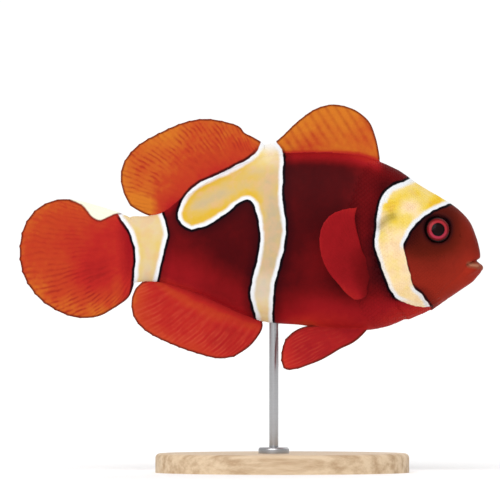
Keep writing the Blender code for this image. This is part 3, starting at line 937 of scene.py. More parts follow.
def read_points(mesh: Mesh) -> Array:
    """Read a mesh's points, in its own units.

    Args:
        mesh: The mesh.

    Returns:
        One point for each vertex.
    """
    found = np.empty(len(mesh.vertices) * 3, np.float32)
    mesh.vertices.foreach_get("co", found)
    return found.reshape(-1, 3).astype(float)


def write_points(mesh: Mesh, points: Array) -> None:
    """Put the mesh's points in place."""
    mesh.vertices.foreach_set("co", points.astype(np.float32).ravel())
    mesh.update()


def write_values(mesh: Mesh, **found: Array | float) -> None:
    """Store numbers for each point, under the names that the materials read.

    Args:
        mesh: The mesh.
        **found: A number for each point, or one for them all, under each name.
    """
    for name, values in found.items():
        layer = mesh.attributes.get(name) or mesh.attributes.new(name, "FLOAT", "POINT")
        layer.data.foreach_set("value", np.full(len(mesh.vertices), values, np.float32))


def read_values(mesh: Mesh, name: str) -> Array:
    """Read the number stored for each point.

    Args:
        mesh: The mesh.
        name: The name that it is stored under.

    Returns:
        One number for each point.
    """
    found = np.empty(len(mesh.vertices), np.float32)
    mesh.attributes[name].data.foreach_get("value", found)
    return found.astype(float)


def mesh_from(bm: BMesh, name: str) -> Mesh:
    """Turn a finished bmesh into a mesh and free it.

    Args:
        bm: The bmesh.
        name: The mesh's name.

    Returns:
        The mesh.
    """
    mesh = bpy.data.meshes.new(name)
    bm.to_mesh(mesh)
    bm.free()
    return mesh


@contextmanager
def reopened(mesh: Mesh) -> Iterator[BMesh]:
    """Open a mesh as a bmesh, and store it again afterwards.

    Args:
        mesh: The mesh.

    Yields:
        The bmesh.
    """
    bm = bmesh.new()
    bm.from_mesh(mesh)
    yield bm
    bm.to_mesh(mesh)
    bm.free()


def face_outwards(bm: BMesh) -> None:
    """Make every face of a closed bmesh point outwards.

    Args:
        bm: The bmesh.
    """
    bmesh.ops.recalc_face_normals(bm, faces=bm.faces[:])
    if bm.calc_volume(signed=True) < 0:
        bmesh.ops.reverse_faces(bm, faces=bm.faces[:])


def soften(bm: BMesh, verts: list, times: int) -> None:
    """Smooth points of a bmesh a number of times."""
    for _ in range(times):
        bmesh.ops.smooth_vert(bm, verts=verts, factor=0.5, use_axis_x=True, use_axis_y=True, use_axis_z=True)


def moved_verts(grown: dict) -> list:
    """The points among what an extrusion made."""
    return [item for item in grown["geom"] if isinstance(item, bmesh.types.BMVert)]


def place_object(mesh: Mesh, name: str) -> Piece:
    """Put a mesh into the scene as an object at the origin.

    Args:
        mesh: The mesh.
        name: The object's name.

    Returns:
        The object.
    """
    obj = bpy.data.objects.new(name, mesh)
    bpy.context.scene.collection.objects.link(obj)
    return obj


def finished(mesh: Mesh, name: str, finish: Material, crease: float = 180) -> Piece:
    """Shade a mesh, dress it and put it into the scene.

    Args:
        mesh: The mesh.
        name: The piece's name.
        finish: Its material.
        crease: The angle in degrees from which an edge stays sharp.

    Returns:
        The piece.
    """
    mesh.shade_smooth()
    mesh.set_sharp_from_angle(angle=math.radians(crease))
    mesh.materials.clear()
    mesh.materials.append(finish)
    return place_object(mesh, name)


# Materials


def tint(*display: int) -> tuple[float, ...]:
    """A linear colour from its display values for red, green and blue, 0 to 255."""
    shares = (value / 255 for value in display)
    return *(share / 12.92 if share <= 0.04045 else ((share + 0.055) / 1.055) ** 2.4 for share in shares), 1.0


class Signal:
    """A value on its way through a node tree, which sums can be written with."""

    def __init__(self, wiring: "Wiring", socket: Socket) -> None:
        """Keep the socket, and the wiring that it belongs to."""
        self.wiring, self.socket = wiring, socket

    def __add__(self, other: object) -> "Signal":
        """The sum with a number or a signal."""
        return self.wiring.math("ADD", self, other)

    def __sub__(self, other: object) -> "Signal":
        """The value less a number or a signal."""
        return self.wiring.math("SUBTRACT", self, other)

    def __rsub__(self, other: float) -> "Signal":
        """A number less the value."""
        return self.wiring.math("SUBTRACT", other, self)

    def __mul__(self, other: object) -> "Signal":
        """The product with a number or a signal."""
        return self.wiring.math("MULTIPLY", self, other)

    def clamped(self) -> "Signal":
        """The same value, kept between 0 and 1 by the node that made it."""
        self.socket.node.use_clamp = True
        return self

    def around(self, amount: float) -> "Signal":
        """A noise turned to run from minus half the amount to plus half of it."""
        return (self - 0.5) * amount

    def rise(self, low: float, high: float) -> "Signal":
        """Rise smoothly from 0 to 1.

        Args:
            low: The value at which the rise starts.
            high: The value at which it ends; it may lie below low.

        Returns:
            The share.
        """
        made = self.wiring.node("ShaderNodeMapRange", interpolation_type="SMOOTHSTEP")
        ends = (low, high, 0, 1) if low < high else (high, low, 1, 0)
        for name, value in zip(("From Min", "From Max", "To Min", "To Max"), ends):
            made.inputs[name].default_value = value
        self.wiring.feed(made.inputs["Value"], self)
        return Signal(self.wiring, made.outputs["Result"])

    def ramp(self, stops: tuple) -> "Signal":
        """Read a colour off a row of stops.

        Args:
            stops: Each stop's place and colour.

        Returns:
            The colour.
        """
        made = self.wiring.node("ShaderNodeValToRGB")
        row = made.color_ramp.elements
        row[0].position, row[0].color = stops[0]
        row[1].position, row[1].color = stops[-1]
        for place, colour in stops[1:-1]:
            row.new(place).color = colour
        self.wiring.feed(made.inputs["Fac"], self)
        return Signal(self.wiring, made.outputs["Color"])


class Wiring:
    """Lays out the nodes of one material, world or group."""

    def __init__(self, tree: bpy.types.NodeTree, target: bpy.types.Node) -> None:
        """Keep the tree that the nodes go into, and the node that they lead to."""
        self.tree, self.target = tree, target

    def lead(self, **looks: object) -> None:
        """Feed the last node, by its sockets' names with _ for a space."""
        for name, look in looks.items():
            self.feed(self.target.inputs[name.replace("_", " ")], look)

    def node(self, kind: str, **settings: object) -> bpy.types.Node:
        """Add a node.

        Args:
            kind: The node's type.
            **settings: Its properties.

        Returns:
            The node.
        """
        made = self.tree.nodes.new(kind)
        for name, value in settings.items():
            setattr(made, name, value)
        return made

    def feed(self, socket: Socket, value: object) -> None:
        """Link a socket to a signal, or give it a plain value.

        Args:
            socket: The socket.
            value: The signal or the value.
        """
        if isinstance(value, Signal):
            self.tree.links.new(value.socket, socket)
        else:
            socket.default_value = value

    def read(self, name: str) -> Signal:
        """The value stored at each point under a name."""
        return Signal(self, self.node("ShaderNodeAttribute", attribute_name=name).outputs["Fac"])

    def math(self, operation: str, first: object, second: object = 0) -> Signal:
        """Do one sum.

        Args:
            operation: The Math node's operation.
            first: A signal or a number.
            second: A signal or a number.

        Returns:
            The result.
        """
        made = self.node("ShaderNodeMath", operation=operation)
        self.feed(made.inputs[0], first)
        self.feed(made.inputs[1], second)
        return Signal(self, made.outputs[0])

    def mix(self, share: object, first: object, second: object) -> Signal:
        """Mix two colours.

        Args:
            share: How much of the second.
            first: A colour or a signal.
            second: A colour or a signal.

        Returns:
            The mixed colour.
        """
        made = self.node("ShaderNodeMix", data_type="RGBA")
        for index, value in ((0, share), (6, first), (7, second)):
            self.feed(made.inputs[index], value)
        return Signal(self, made.outputs[2])

    def noise(self, scale: float, detail: float = 2, stretch: tuple = (), rough: float = 0.5) -> Signal:
        """Soft noise in the object's own coordinates.

        Args:
            scale: How fine it is, per metre.
            detail: How many finer layers it has.
            stretch: Where given, how much finer it is along each axis.
            rough: How strong the finer layers are.

        Returns:
            The noise, 0 to 1.
        """
        vector = self.node("ShaderNodeTexCoord").outputs["Object"]
        if stretch:
            mapping = self.node("ShaderNodeMapping")
            self.tree.links.new(vector, mapping.inputs["Vector"])
            mapping.inputs["Scale"].default_value = stretch
            vector = mapping.outputs["Vector"]
        made = self.node("ShaderNodeTexNoise")
        self.tree.links.new(vector, made.inputs["Vector"])
        for name, value in (("Scale", scale), ("Detail", detail), ("Roughness", rough)):
            made.inputs[name].default_value = value
        return Signal(self, made.outputs["Fac"])

    def bump(self, height: Signal, strength: float, depth: float) -> None:
        """Feed the shader's normal from a height.

        Args:
            height: The height, where 1 is a full depth.
            strength: How much of the bump shows.
            depth: The depth in metres.
        """
        made = self.node("ShaderNodeBump")
        made.inputs["Strength"].default_value = strength
        made.inputs["Distance"].default_value = depth
        self.feed(made.inputs["Height"], height)
        self.lead(Normal=Signal(self, made.outputs["Normal"]))


def new_material(name: str) -> tuple[Material, Wiring]:
    """Start a material, and the wiring that leads to its Principled shader.

    Args:
        name: The material's name.

    Returns:
        The material and the wiring.
    """
    made = bpy.data.materials.new(name)
    made.use_nodes = True
    return made, Wiring(made.node_tree, made.node_tree.nodes["Principled BSDF"])


@dataclass(frozen=True)
class SkinColours:
    """The fish's colours, each ramp as places and colours."""

    ramp: tuple = (
        (0, tint(54, 4, 8)), (0.15, tint(74, 6, 10)), (0.35, tint(112, 12, 16)), (0.58, tint(146, 20, 26)),
        (0.74, tint(173, 36, 31)), (0.87, tint(182, 62, 31)), (1, tint(199, 111, 34)),
    )  # fmt: skip
    head: tuple = (
        (0, tint(66, 14, 8)), (0.4, tint(95, 25, 13)), (0.7, tint(129, 34, 22)), (1, tint(152, 40, 25)),
    )  # fmt: skip
    gold: tuple = (
        (0, tint(176, 164, 138)), (0.25, tint(186, 166, 130)), (0.5, tint(198, 171, 118)),
        (0.75, tint(206, 172, 88)), (1, tint(208, 168, 54)),
    )  # fmt: skip
    bright_gold: tuple = (
        (0, tint(234, 206, 176)), (0.3, tint(240, 214, 164)), (0.55, tint(230, 205, 118)),
        (0.8, tint(229, 198, 72)), (1, tint(223, 182, 46)),
    )  # fmt: skip
    rim: tuple = tint(226, 228, 232)
    outline: tuple = tint(10, 2, 8)
    ivory: tuple = tint(236, 234, 212)
    peach: tuple = tint(214, 168, 132)
    lip: tuple = tint(138, 66, 46)
    # The colour of the lip's painted highlight.
    lip_highlight: tuple = tint(164, 108, 84)
    olive: tuple = tint(112, 90, 14)
    margin: tuple = tint(96, 26, 16)
    pale_ray: tuple = tint(204, 84, 58)


class MarkingsGroup:
    """The node group that paints skin and scales alike."""

    def __init__(self, colours: SkinColours) -> None:
        """Start the group with its sockets.

        Args:
            colours: The fish's colours.
        """
        self.colours = colours
        self.tree = bpy.data.node_groups.new("clownfish_markings", "ShaderNodeTree")
        self.tree.interface.new_socket("Scale Shade", in_out="INPUT", socket_type="NodeSocketFloat")
        for name, kind in (("Color", "Color"), ("Roughness", "Float"), ("Height", "Float")):
            self.tree.interface.new_socket(name, in_out="OUTPUT", socket_type=f"NodeSocket{kind}")
        self.w = Wiring(self.tree, self.tree.nodes.new("NodeGroupOutput"))

    def build(self) -> bpy.types.NodeTree:
        """Wire the whole group.

        Returns:
            The group, with the outputs Color, Roughness and Height.
        """
        w = self.w
        shade = Signal(w, w.node("NodeGroupInput").outputs["Scale Shade"])
        lines = self._ray_lines()
        colour = w.mix(shade * 0.07, self._banded(self._ground(lines, shade)), self.colours.outline)
        roughness, height = w.noise(1400).around(0.14) + 0.5, w.noise(2600) * 0.4 + lines * -0.6
        w.lead(Color=colour, Roughness=roughness, Height=height)
        return self.tree

    def _ray_lines(self) -> Signal:
        """Broken lines between the fins' rays, which double where the rays fork.

        Returns:
            Their strength.
        """
        w = self.w
        out, forked = w.read("out"), w.read("forked")
        stray = w.noise(150).around(1.2) + w.noise(420, 1).around(0.35)
        ray = w.read("ray") + stray * (forked * 0.6 + 0.12)
        single, double = (
            w.math("POWER", w.math("COSINE", ray * (2 * math.pi * count)) * -0.5 + 0.5, 2) for count in (1, 2)
        )
        branch = out.rise(0.3, 0.6) * forked
        broken = w.noise(300, 3).rise(0.64, 0.4) * (forked * 0.5 + 0.5)
        return (single * (1 - branch) + double * branch) * (out.rise(0.08, 0.6) * (1 - broken * 0.85))

    def _ground(self, lines: Signal, shade: Signal) -> Signal:
        """The colour under the bands.

        Args:
            lines: The lines between the rays.
            shade: How shaded a scale's edge is.

        Returns:
            The colour.
        """
        w, colours = self.w, self.colours
        mottle = w.noise(110, 3).around(0.24) + w.noise(700).around(0.08)
        streaks = lines * w.read("streak")
        warmth = w.read("warm") + mottle - w.math("MAXIMUM", streaks, 0) * 0.4 - shade * 0.03
        base = warmth.clamped().ramp(colours.ramp)
        base = w.mix((streaks * 2).clamped(), base, colours.margin)
        base = w.mix((streaks * -2.8).clamped(), base, colours.pale_ray)
        base = w.mix(w.read("head"), base, (w.read("brown") + mottle).clamped().ramp(colours.head))
        # Painted shade round the eye.
        base = w.mix((w.read("eye_shade") * 0.8).clamped(), base, colours.outline)
        edge = (w.read("edge") + w.noise(500).around(0.3)).rise(0.72, 0.2)
        return w.mix(edge * 0.85, base, colours.margin)

    def _gold(self, depth: Signal) -> Signal:
        """The colour inside the bands.

        Args:
            depth: The depth inside their outlines.

        Returns:
            The colour.
        """
        w, colours = self.w, self.colours
        bright, rich = w.read("bright"), w.read("gold")
        place = (rich + (w.noise(200).around(0.5) + w.noise(620).around(0.35))).clamped()
        gold = w.mix(bright, place.ramp(colours.gold), place.ramp(colours.bright_gold))
        blush = w.noise(380) + rich.around(-0.2)
        gold = w.mix(blush.rise(0.46, 0.7) * (0.4 - bright * 0.2), gold, colours.peach)
        gold = w.mix(w.read("pale"), gold, colours.rim)
        gold = w.mix(depth.rise(1.4, 0.45) * w.read("rimmed"), gold, colours.rim)
        return w.mix(w.read("smudge"), gold, colours.olive)

    def _banded(self, base: Signal) -> Signal:
        """The bands with their dark outlines, the pale notch and the lips with their painted highlight, laid
        over a colour.

        Args:
            base: The colour under them.

        Returns:
            The colour.
        """
        w, colours = self.w, self.colours
        wobble = w.noise(420).around(0.7)
        depth = w.read("band") + wobble
        base = w.mix(depth.rise(-3.4, -0.5) * w.read("halo"), base, colours.outline)
        base = w.mix(depth.rise(-0.95, -0.45) * w.read("line"), base, colours.outline)
        base = w.mix(depth.rise(-0.12, 0.12), base, self._gold(depth))
        notch = w.read("notch") + wobble
        base = w.mix(notch.rise(-0.7, -0.2) * 0.7, base, colours.margin)
        base = w.mix(notch.rise(-0.15, 0.35), base, colours.ivory)
        lip = w.read("lip")
        # The lip's own colour, turning to its painted highlight where the sheen stripe adds to it.
        return w.mix(lip.rise(0.05, 0.45), base, w.mix(lip.rise(0.5, 0.95), colours.lip, colours.lip_highlight))


@dataclass(frozen=True)
class SkinFinish:
    """The wet-looking skin, or the scales over it."""

    name: str
    specular: float = 0.03
    bump: float = 0.2
    bump_depth: float = 0.00012
    scales: bool = False

    def material(self, group: bpy.types.NodeTree) -> Material:
        """Build the material.

        Args:
            group: The group that paints the markings.

        Returns:
            The material.
        """
        made, w = new_material(self.name)
        paint = w.node("ShaderNodeGroup", node_tree=group)
        if self.scales:
            w.feed(paint.inputs["Scale Shade"], w.read("rim"))
        colour, roughness, height = (Signal(w, socket) for socket in paint.outputs)
        w.lead(Base_Color=colour, Roughness=roughness, Specular_IOR_Level=self.specular)
        w.bump(height, self.bump, self.bump_depth)
        return made


@dataclass(frozen=True)
class EyeFinish:
    """Pupil, crimson ring and a dark rim with painted socket shade, under a clear wet front."""

    pupil: tuple = tint(24, 7, 8)
    ring: tuple = tint(160, 40, 48)
    ring_low: tuple = tint(166, 44, 66)
    # Each ring's colour, and the radii in millimetres between which it takes over.
    pupil_edge: tuple = (tint(8, 2, 4), 1.15, 1.45)
    ring_reach: tuple = (1.6, 1.9)
    ring_edge: tuple = (tint(104, 15, 19), 2.15, 2.6)
    # The dark rim is partly the eye's own edge and partly painted shade of the gap where it sinks into its
    # socket.
    dark: tuple = (tint(14, 3, 4), 2.7, 3.0)
    roughness: float = 0.22
    specular: float = 0.08

    def material(self) -> Material:
        """Build the material.

        Returns:
            The material.
        """
        made, w = new_material("eye_wet")
        radius = w.read("radius") + w.noise(1500).around(0.16)
        ring = w.mix(w.read("low"), self.ring, self.ring_low), *self.ring_reach
        colour = self.pupil
        for outer, start, end in (self.pupil_edge, ring, self.ring_edge, self.dark):
            colour = w.mix(radius.rise(start, end), colour, outer)
        w.lead(Base_Color=colour, Roughness=self.roughness, Specular_IOR_Level=self.specular)
        return made


@dataclass(frozen=True)
class WoodFinish:
    """Pale sanded wood with a fine straight grain."""

    light: tuple = tint(214, 190, 158)
    dark: tuple = tint(176, 146, 112)
    stretch: tuple = (6, 90, 60)
    roughness: float = 0.45
    bump: float = 0.25
    bump_depth: float = 0.0002

    def material(self) -> Material:
        """Build the material.

        Returns:
            The material.
        """
        made, w = new_material("stand_wood")
        grain, pores = (w.noise(scale, detail, self.stretch, 0.6) for scale, detail in ((6, 4), (70, 2)))
        share = (grain.rise(0.35, 0.7) + pores.around(0.5)).clamped()
        w.lead(Base_Color=w.mix(share, self.light, self.dark), Roughness=share * 0.15 + self.roughness)
        w.bump(share * -1, self.bump, self.bump_depth)
        return made


@dataclass(frozen=True)
class SteelFinish:
    """Brushed steel."""

    light: tuple = tint(186, 186, 188)
    dark: tuple = tint(140, 140, 143)
    stretch: tuple = (300, 300, 8000)
    roughness: float = 0.22

    def material(self) -> Material:
        """Build the material.

        Returns:
            The material.
        """
        made, w = new_material("stand_steel")
        brush = w.noise(1, 2, self.stretch, 0.6)
        colour, roughness = w.mix(brush * 0.4, self.light, self.dark), brush * 0.2 + self.roughness
        w.lead(Base_Color=colour, Roughness=roughness, Metallic=1)
        return made


# The pieces


@dataclass
class Skin:
    """One skin over the whole fish, fins included."""

    around: int = 168
    rings: int = 252
    depth: float = 0.14  # how far the skin lies under the scales' outer face
    # Shares of the rings, and the place along the body that each has reached.
    ring_shares: tuple = (0, 0.012, 0.4, 0.93, 1)
    ring_places: tuple = (-0.03, 0, 0.55, 1, 1.03)
    snout: tuple = (57.8, 59.3)  # the x between which the relief turns to point straight ahead
    lips_smoothed: tuple = ((57.8, 3), (58.9, 14))  # from which x, and how many times
    seams_smoothed: int = 3
    spine_root: tuple = (46, -2.6)
    spine_tip: tuple = (42.4, -7)
    spine_radii: tuple = (0.62, 0.05)
    spine_lift: float = 0.35  # how far its root is sunk and its tip stands off
    spine_corners: int = 20

    def build(self, finish: Material) -> Piece:
        """Build the skin.

        Args:
            finish: Its material.

        Returns:
            The piece.
        """
        body = place_object(self._body_mesh(), "body_helper")
        meshes = [self._fin_mesh(fin, index + 1) for index, fin in enumerate(FINS)]
        meshes += [self._spine_mesh(side) for side in Side]
        helpers = [place_object(mesh, mesh.name) for mesh in meshes]
        for helper in helpers:
            joined = body.modifiers.new(helper.name, "BOOLEAN")
            joined.operation, joined.solver, joined.object = "UNION", "MANIFOLD", helper
        graph = bpy.context.evaluated_depsgraph_get()
        mesh = bpy.data.meshes.new_from_object(body.evaluated_get(graph))
        for helper in (body, *helpers):
            bpy.data.objects.remove(helper)
        self._heal(mesh)
        Painter(mesh).paint()
        return finished(mesh, "clownfish_skin", finish)

    def _body_mesh(self) -> Mesh:
        """The body without fins, head relief included.

        Returns:
            Its mesh.
        """
        bm = bmesh.new()
        bmesh.ops.create_uvsphere(bm, u_segments=self.around, v_segments=self.rings, radius=1)
        mesh = mesh_from(bm, "clownfish_body")
        up, left, ahead = read_points(mesh).T
        share = np.arccos(np.clip(-ahead, -1, 1)) / np.pi
        angle = np.arcsin(np.clip(up / np.maximum(np.hypot(up, left), 1e-9), -1, 1))
        along = np.interp(share, self.ring_shares, self.ring_places)
        place, out = BODY.frame(along, angle, np.where(left >= 0, 1, -1))
        pole = np.abs(share - 0.5) > 0.5 - 1e-4
        out[pole] = np.sign(share[pole] - 0.5)[:, None] * FORWARD
        place[pole, 1] = 0
        lift = RELIEF.lift(place) - self.depth
        turned = rise(*self.snout, place[:, 0])[:, None]
        out = out * (1 - turned) + turned * FORWARD
        out /= np.linalg.norm(out, axis=1, keepdims=True)
        write_points(mesh, to_frame(place + out * lift[:, None]))
        write_values(mesh, part=-1, out=0, back=0)
        with reopened(mesh) as bm:
            for reach, times in self.lips_smoothed:
                soften(bm, [vert for vert in bm.verts if vert.co.x > reach * MM], times)
            face_outwards(bm)
        return mesh

    @staticmethod
    def _fin_mesh(fin: FinForm, part: int) -> Mesh:
        """One fin, closed all round, and marked with its number.

        Args:
            fin: The fin's form.
            part: Its number.

        Returns:
            Its mesh.
        """
        bm = bmesh.new()
        bmesh.ops.create_grid(bm, x_segments=fin.rays * fin.columns_per_ray, y_segments=fin.rows, size=0.5)
        far = set(moved_verts(bmesh.ops.extrude_face_region(bm, geom=bm.faces[:])))
        face = np.array([1 if vert in far else -1 for vert in bm.verts])
        mesh = mesh_from(bm, f"fin_{part}")
        back, out, _ = np.clip(read_points(mesh).T + 0.5, 0, 1)
        write_points(mesh, to_frame(fin.points(out, back, face)))
        write_values(mesh, part=part, out=out, back=back)
        with reopened(mesh) as bm:
            face_outwards(bm)
        return mesh

    def _spine_mesh(self, side: Side) -> Mesh:
        """The spine that points back over the cheek.

        Args:
            side: The side that it is on.

        Returns:
            Its mesh.
        """
        root, tip = (
            Vector((x, side.value * (BODY.flank(x, z) + lift), z))
            for (x, z), lift in ((self.spine_root, -self.spine_lift), (self.spine_tip, self.spine_lift))
        )
        run = tip - root
        turn = run.to_track_quat("Z", "Y").to_matrix().to_4x4()
        wide, narrow = self.spine_radii
        bm = bmesh.new()
        bmesh.ops.create_cone(
            bm, cap_ends=True, segments=self.spine_corners, radius1=wide, radius2=narrow, depth=run.length,
            matrix=Matrix.Translation((root + tip) / 2) @ turn,
        )  # fmt: skip
        face_outwards(bm)
        mesh = mesh_from(bm, f"spine_{side.name}")
        write_points(mesh, to_frame(read_points(mesh)))
        write_values(mesh, part=-2, out=0, back=0)
        return mesh

    def _heal(self, mesh: Mesh) -> None:
        """Soften the lines where the fins leave the body, and fill in the values there.

        Args:
            mesh: The skin.
        """
        with reopened(mesh) as bm:
            part, back = (bm.verts.layers.float[name] for name in ("part", "back"))
            seam = [vert for vert in bm.verts if vert[part] == 0]
            for vert in seam:
                others = [edge.other_vert(vert) for edge in vert.link_edges]
                finned = [other[back] for other in others if other[part] > 0.5]
                vert[back] = sum(finned) / max(len(finned), 1)
                vert[part] = -1
            around = {other for vert in seam for edge in vert.link_edges for other in edge.verts}
            soften(bm, list(around), self.seams_smoothed)


class Painter:
    """Paints the markings onto a mesh that carries the values part, out and back."""

    def __init__(self, mesh: Mesh) -> None:
        """Read the mesh, and measure its points against the markings.

        Args:
            mesh: The mesh.
        """
        self.mesh = mesh
        self.view = SideView((read_points(mesh) / MM - AXIS)[:, [0, 2]])
        self.part, self.out, self.back = (read_values(mesh, name) for name in ("part", "out", "back"))
        self.body = self.part < 0
        self.in_front = SideLine(MARKINGS.head_front).measure(self.view.flat)[2]
        self.depths = self._depths()
        self.on_head = self.depths[0] > -MARKINGS.head_reach
        self.band = np.maximum.reduce(self.depths[:3])

    def paint(self) -> None:
        """Store every value that the markings are drawn from."""
        for found in (self._fins(), self._head(), self._rims(), self._gold()):
            write_values(self.mesh, **found)
        write_values(self.mesh, band=self.band, notch=self.depths[3])

    def _depths(self) -> tuple[Array, ...]:
        """The depth in each marking, far outside it on the parts that don't carry it.

        Returns:
            One row of depths for each marking.
        """
        found = MARKINGS.depths(self.view.flat)
        stalk = self.body | (self.part == TAIL)
        for depth, carries in zip(found, (self.body, self.part < TAIL, stalk, stalk)):
            depth[~carries] = NO_MARK
        return found

    def _fins(self) -> dict[str, Array]:
        """The warmth of body and fins, and the fins' rays and edges.

        Returns:
            The values under their names.
        """
        view = self.view
        warm = MARKINGS.body_warmth(view)
        edge, (ray, streak, forked) = np.full(len(warm), NO_EDGE), np.zeros((3, len(warm)))
        for part, fin in enumerate(FINS, 1):
            mine = self.part == part
            sheet = self.out[mine], self.back[mine]
            warm[mine], ray[mine] = fin.warm(*sheet), fin.ray(*sheet)
            streak[mine], forked[mine] = fin.streak, fin.forked
            if fin.stance is not Stance.FLARED:
                edge[mine] = fin.gap(*sheet)
        top, bend, fall = MARKINGS.strip_top
        over_strip = view.z - (top - fall * np.maximum(view.x - bend, 0) ** 2)
        strip = (self.part == FRONT_DORSAL) * rise(*MARKINGS.strip_edge, over_strip)
        warm += (MARKINGS.strip_warmth - warm) * strip
        tail = self.part == TAIL
        warm += (MARKINGS.root_warmth(view) - warm) * tail * view.ahead(*MARKINGS.tail_root_ends)
        warm += sum((self.part == part) * washed(view, fin.washes) for part, fin in enumerate(FINS, 1))
        high, low = MARKINGS.tail_streaks
        streak[tail] *= high + (low - high) * rise(*MARKINGS.tail_streak_turn, self.back[tail])
        return {"warm": warm, "ray": ray, "edge": edge, "streak": streak, "forked": forked}

    def _head(self) -> dict[str, Array]:
        """The brown face with the shade painted round the eye, the lips with their painted highlight, and the
        smudge behind the cheek.

        Returns:
            The values under their names.
        """
        view = self.view
        head = rise(*MARKINGS.face_edge, -self.in_front) * self.body * view.ahead(*MARKINGS.face_starts)
        lower_lip = MARKINGS.lower_lip.over(view) * view.ahead(*MARKINGS.lower_lip_starts)
        return {
            "head": head,
            "brown": np.clip(washed(view, MARKINGS.brown, MARKINGS.face_brown), 0, 1),
            "eye_shade": washed(view, MARKINGS.eye_shade) * head,
            "lip": (lower_lip + MARKINGS.lip_sheen.over(view)) * self.body,
            "smudge": MARKINGS.smudge.over(view) * self.body,
        }

    def _rims(self) -> dict[str, Array]:
        """The strength of the bands' dark outlines, of the shade round them and of their pale rims.

        Returns:
            The values under their names.
        """
        view, on_head, in_front, marks = self.view, self.on_head, self.in_front, MARKINGS
        front = washed(view, marks.front_outline)
        line = np.where(in_front < 0, np.maximum(front, marks.least_outline), marks.rear_outline.over(view))
        fins = marks.fin_outline.over(view) + marks.fin_outline_least
        line = np.where(on_head, line, 1) * np.where(self.body, 1, fins)
        line *= 1 - marks.notch_loss.over(view) * (view.x < marks.notch_before)
        halo = marks.halo * np.where(on_head, marks.head_halo.over(view), marks.body_halo.over(view))
        near_front = on_head & (in_front < marks.rim_width)
        rimmed = np.where(near_front, np.maximum(front, marks.least_rim), 1)
        rimmed *= 1 - marks.foot_loss.over(view) * on_head * (in_front > marks.foot_from)
        rimmed *= 1 - marks.rear_loss.over(view) * on_head * (in_front > marks.rim_width)
        return {"line": line, "halo": line * self.body * halo, "rimmed": rimmed}

    def _gold(self) -> dict[str, Array]:
        """How rich, pale and bright the gold is inside the bands.

        Returns:
            The values under their names.
        """
        view, marks = self.view, MARKINGS
        behind = view.x < marks.head_from
        corner = SideLine(marks.rear_corner).measure(view.flat)[0]
        pale = washed(view, marks.pale_top) * behind + marks.pale_foot.over(view)
        pale += marks.corner_pale * self.on_head * rise(*marks.corner_reach, corner)
        richer, width, depth = marks.inner_gold
        gold = np.where(view.x > marks.head_from, marks.head_gold, marks.body_gold)
        gold += richer * behind * bell(self.band, width, depth)
        gold += sum(amount * view.spot(x, z, reach) for x, z, amount, reach in marks.gold_spots)
        gold += washed(view, marks.arm_gold) * marks.arm.over(view)
        bright = washed(view, marks.bright)
        return {"gold": np.clip(gold, 0, 1), "pale": pale, "bright": np.clip(bright, 0, 1)}


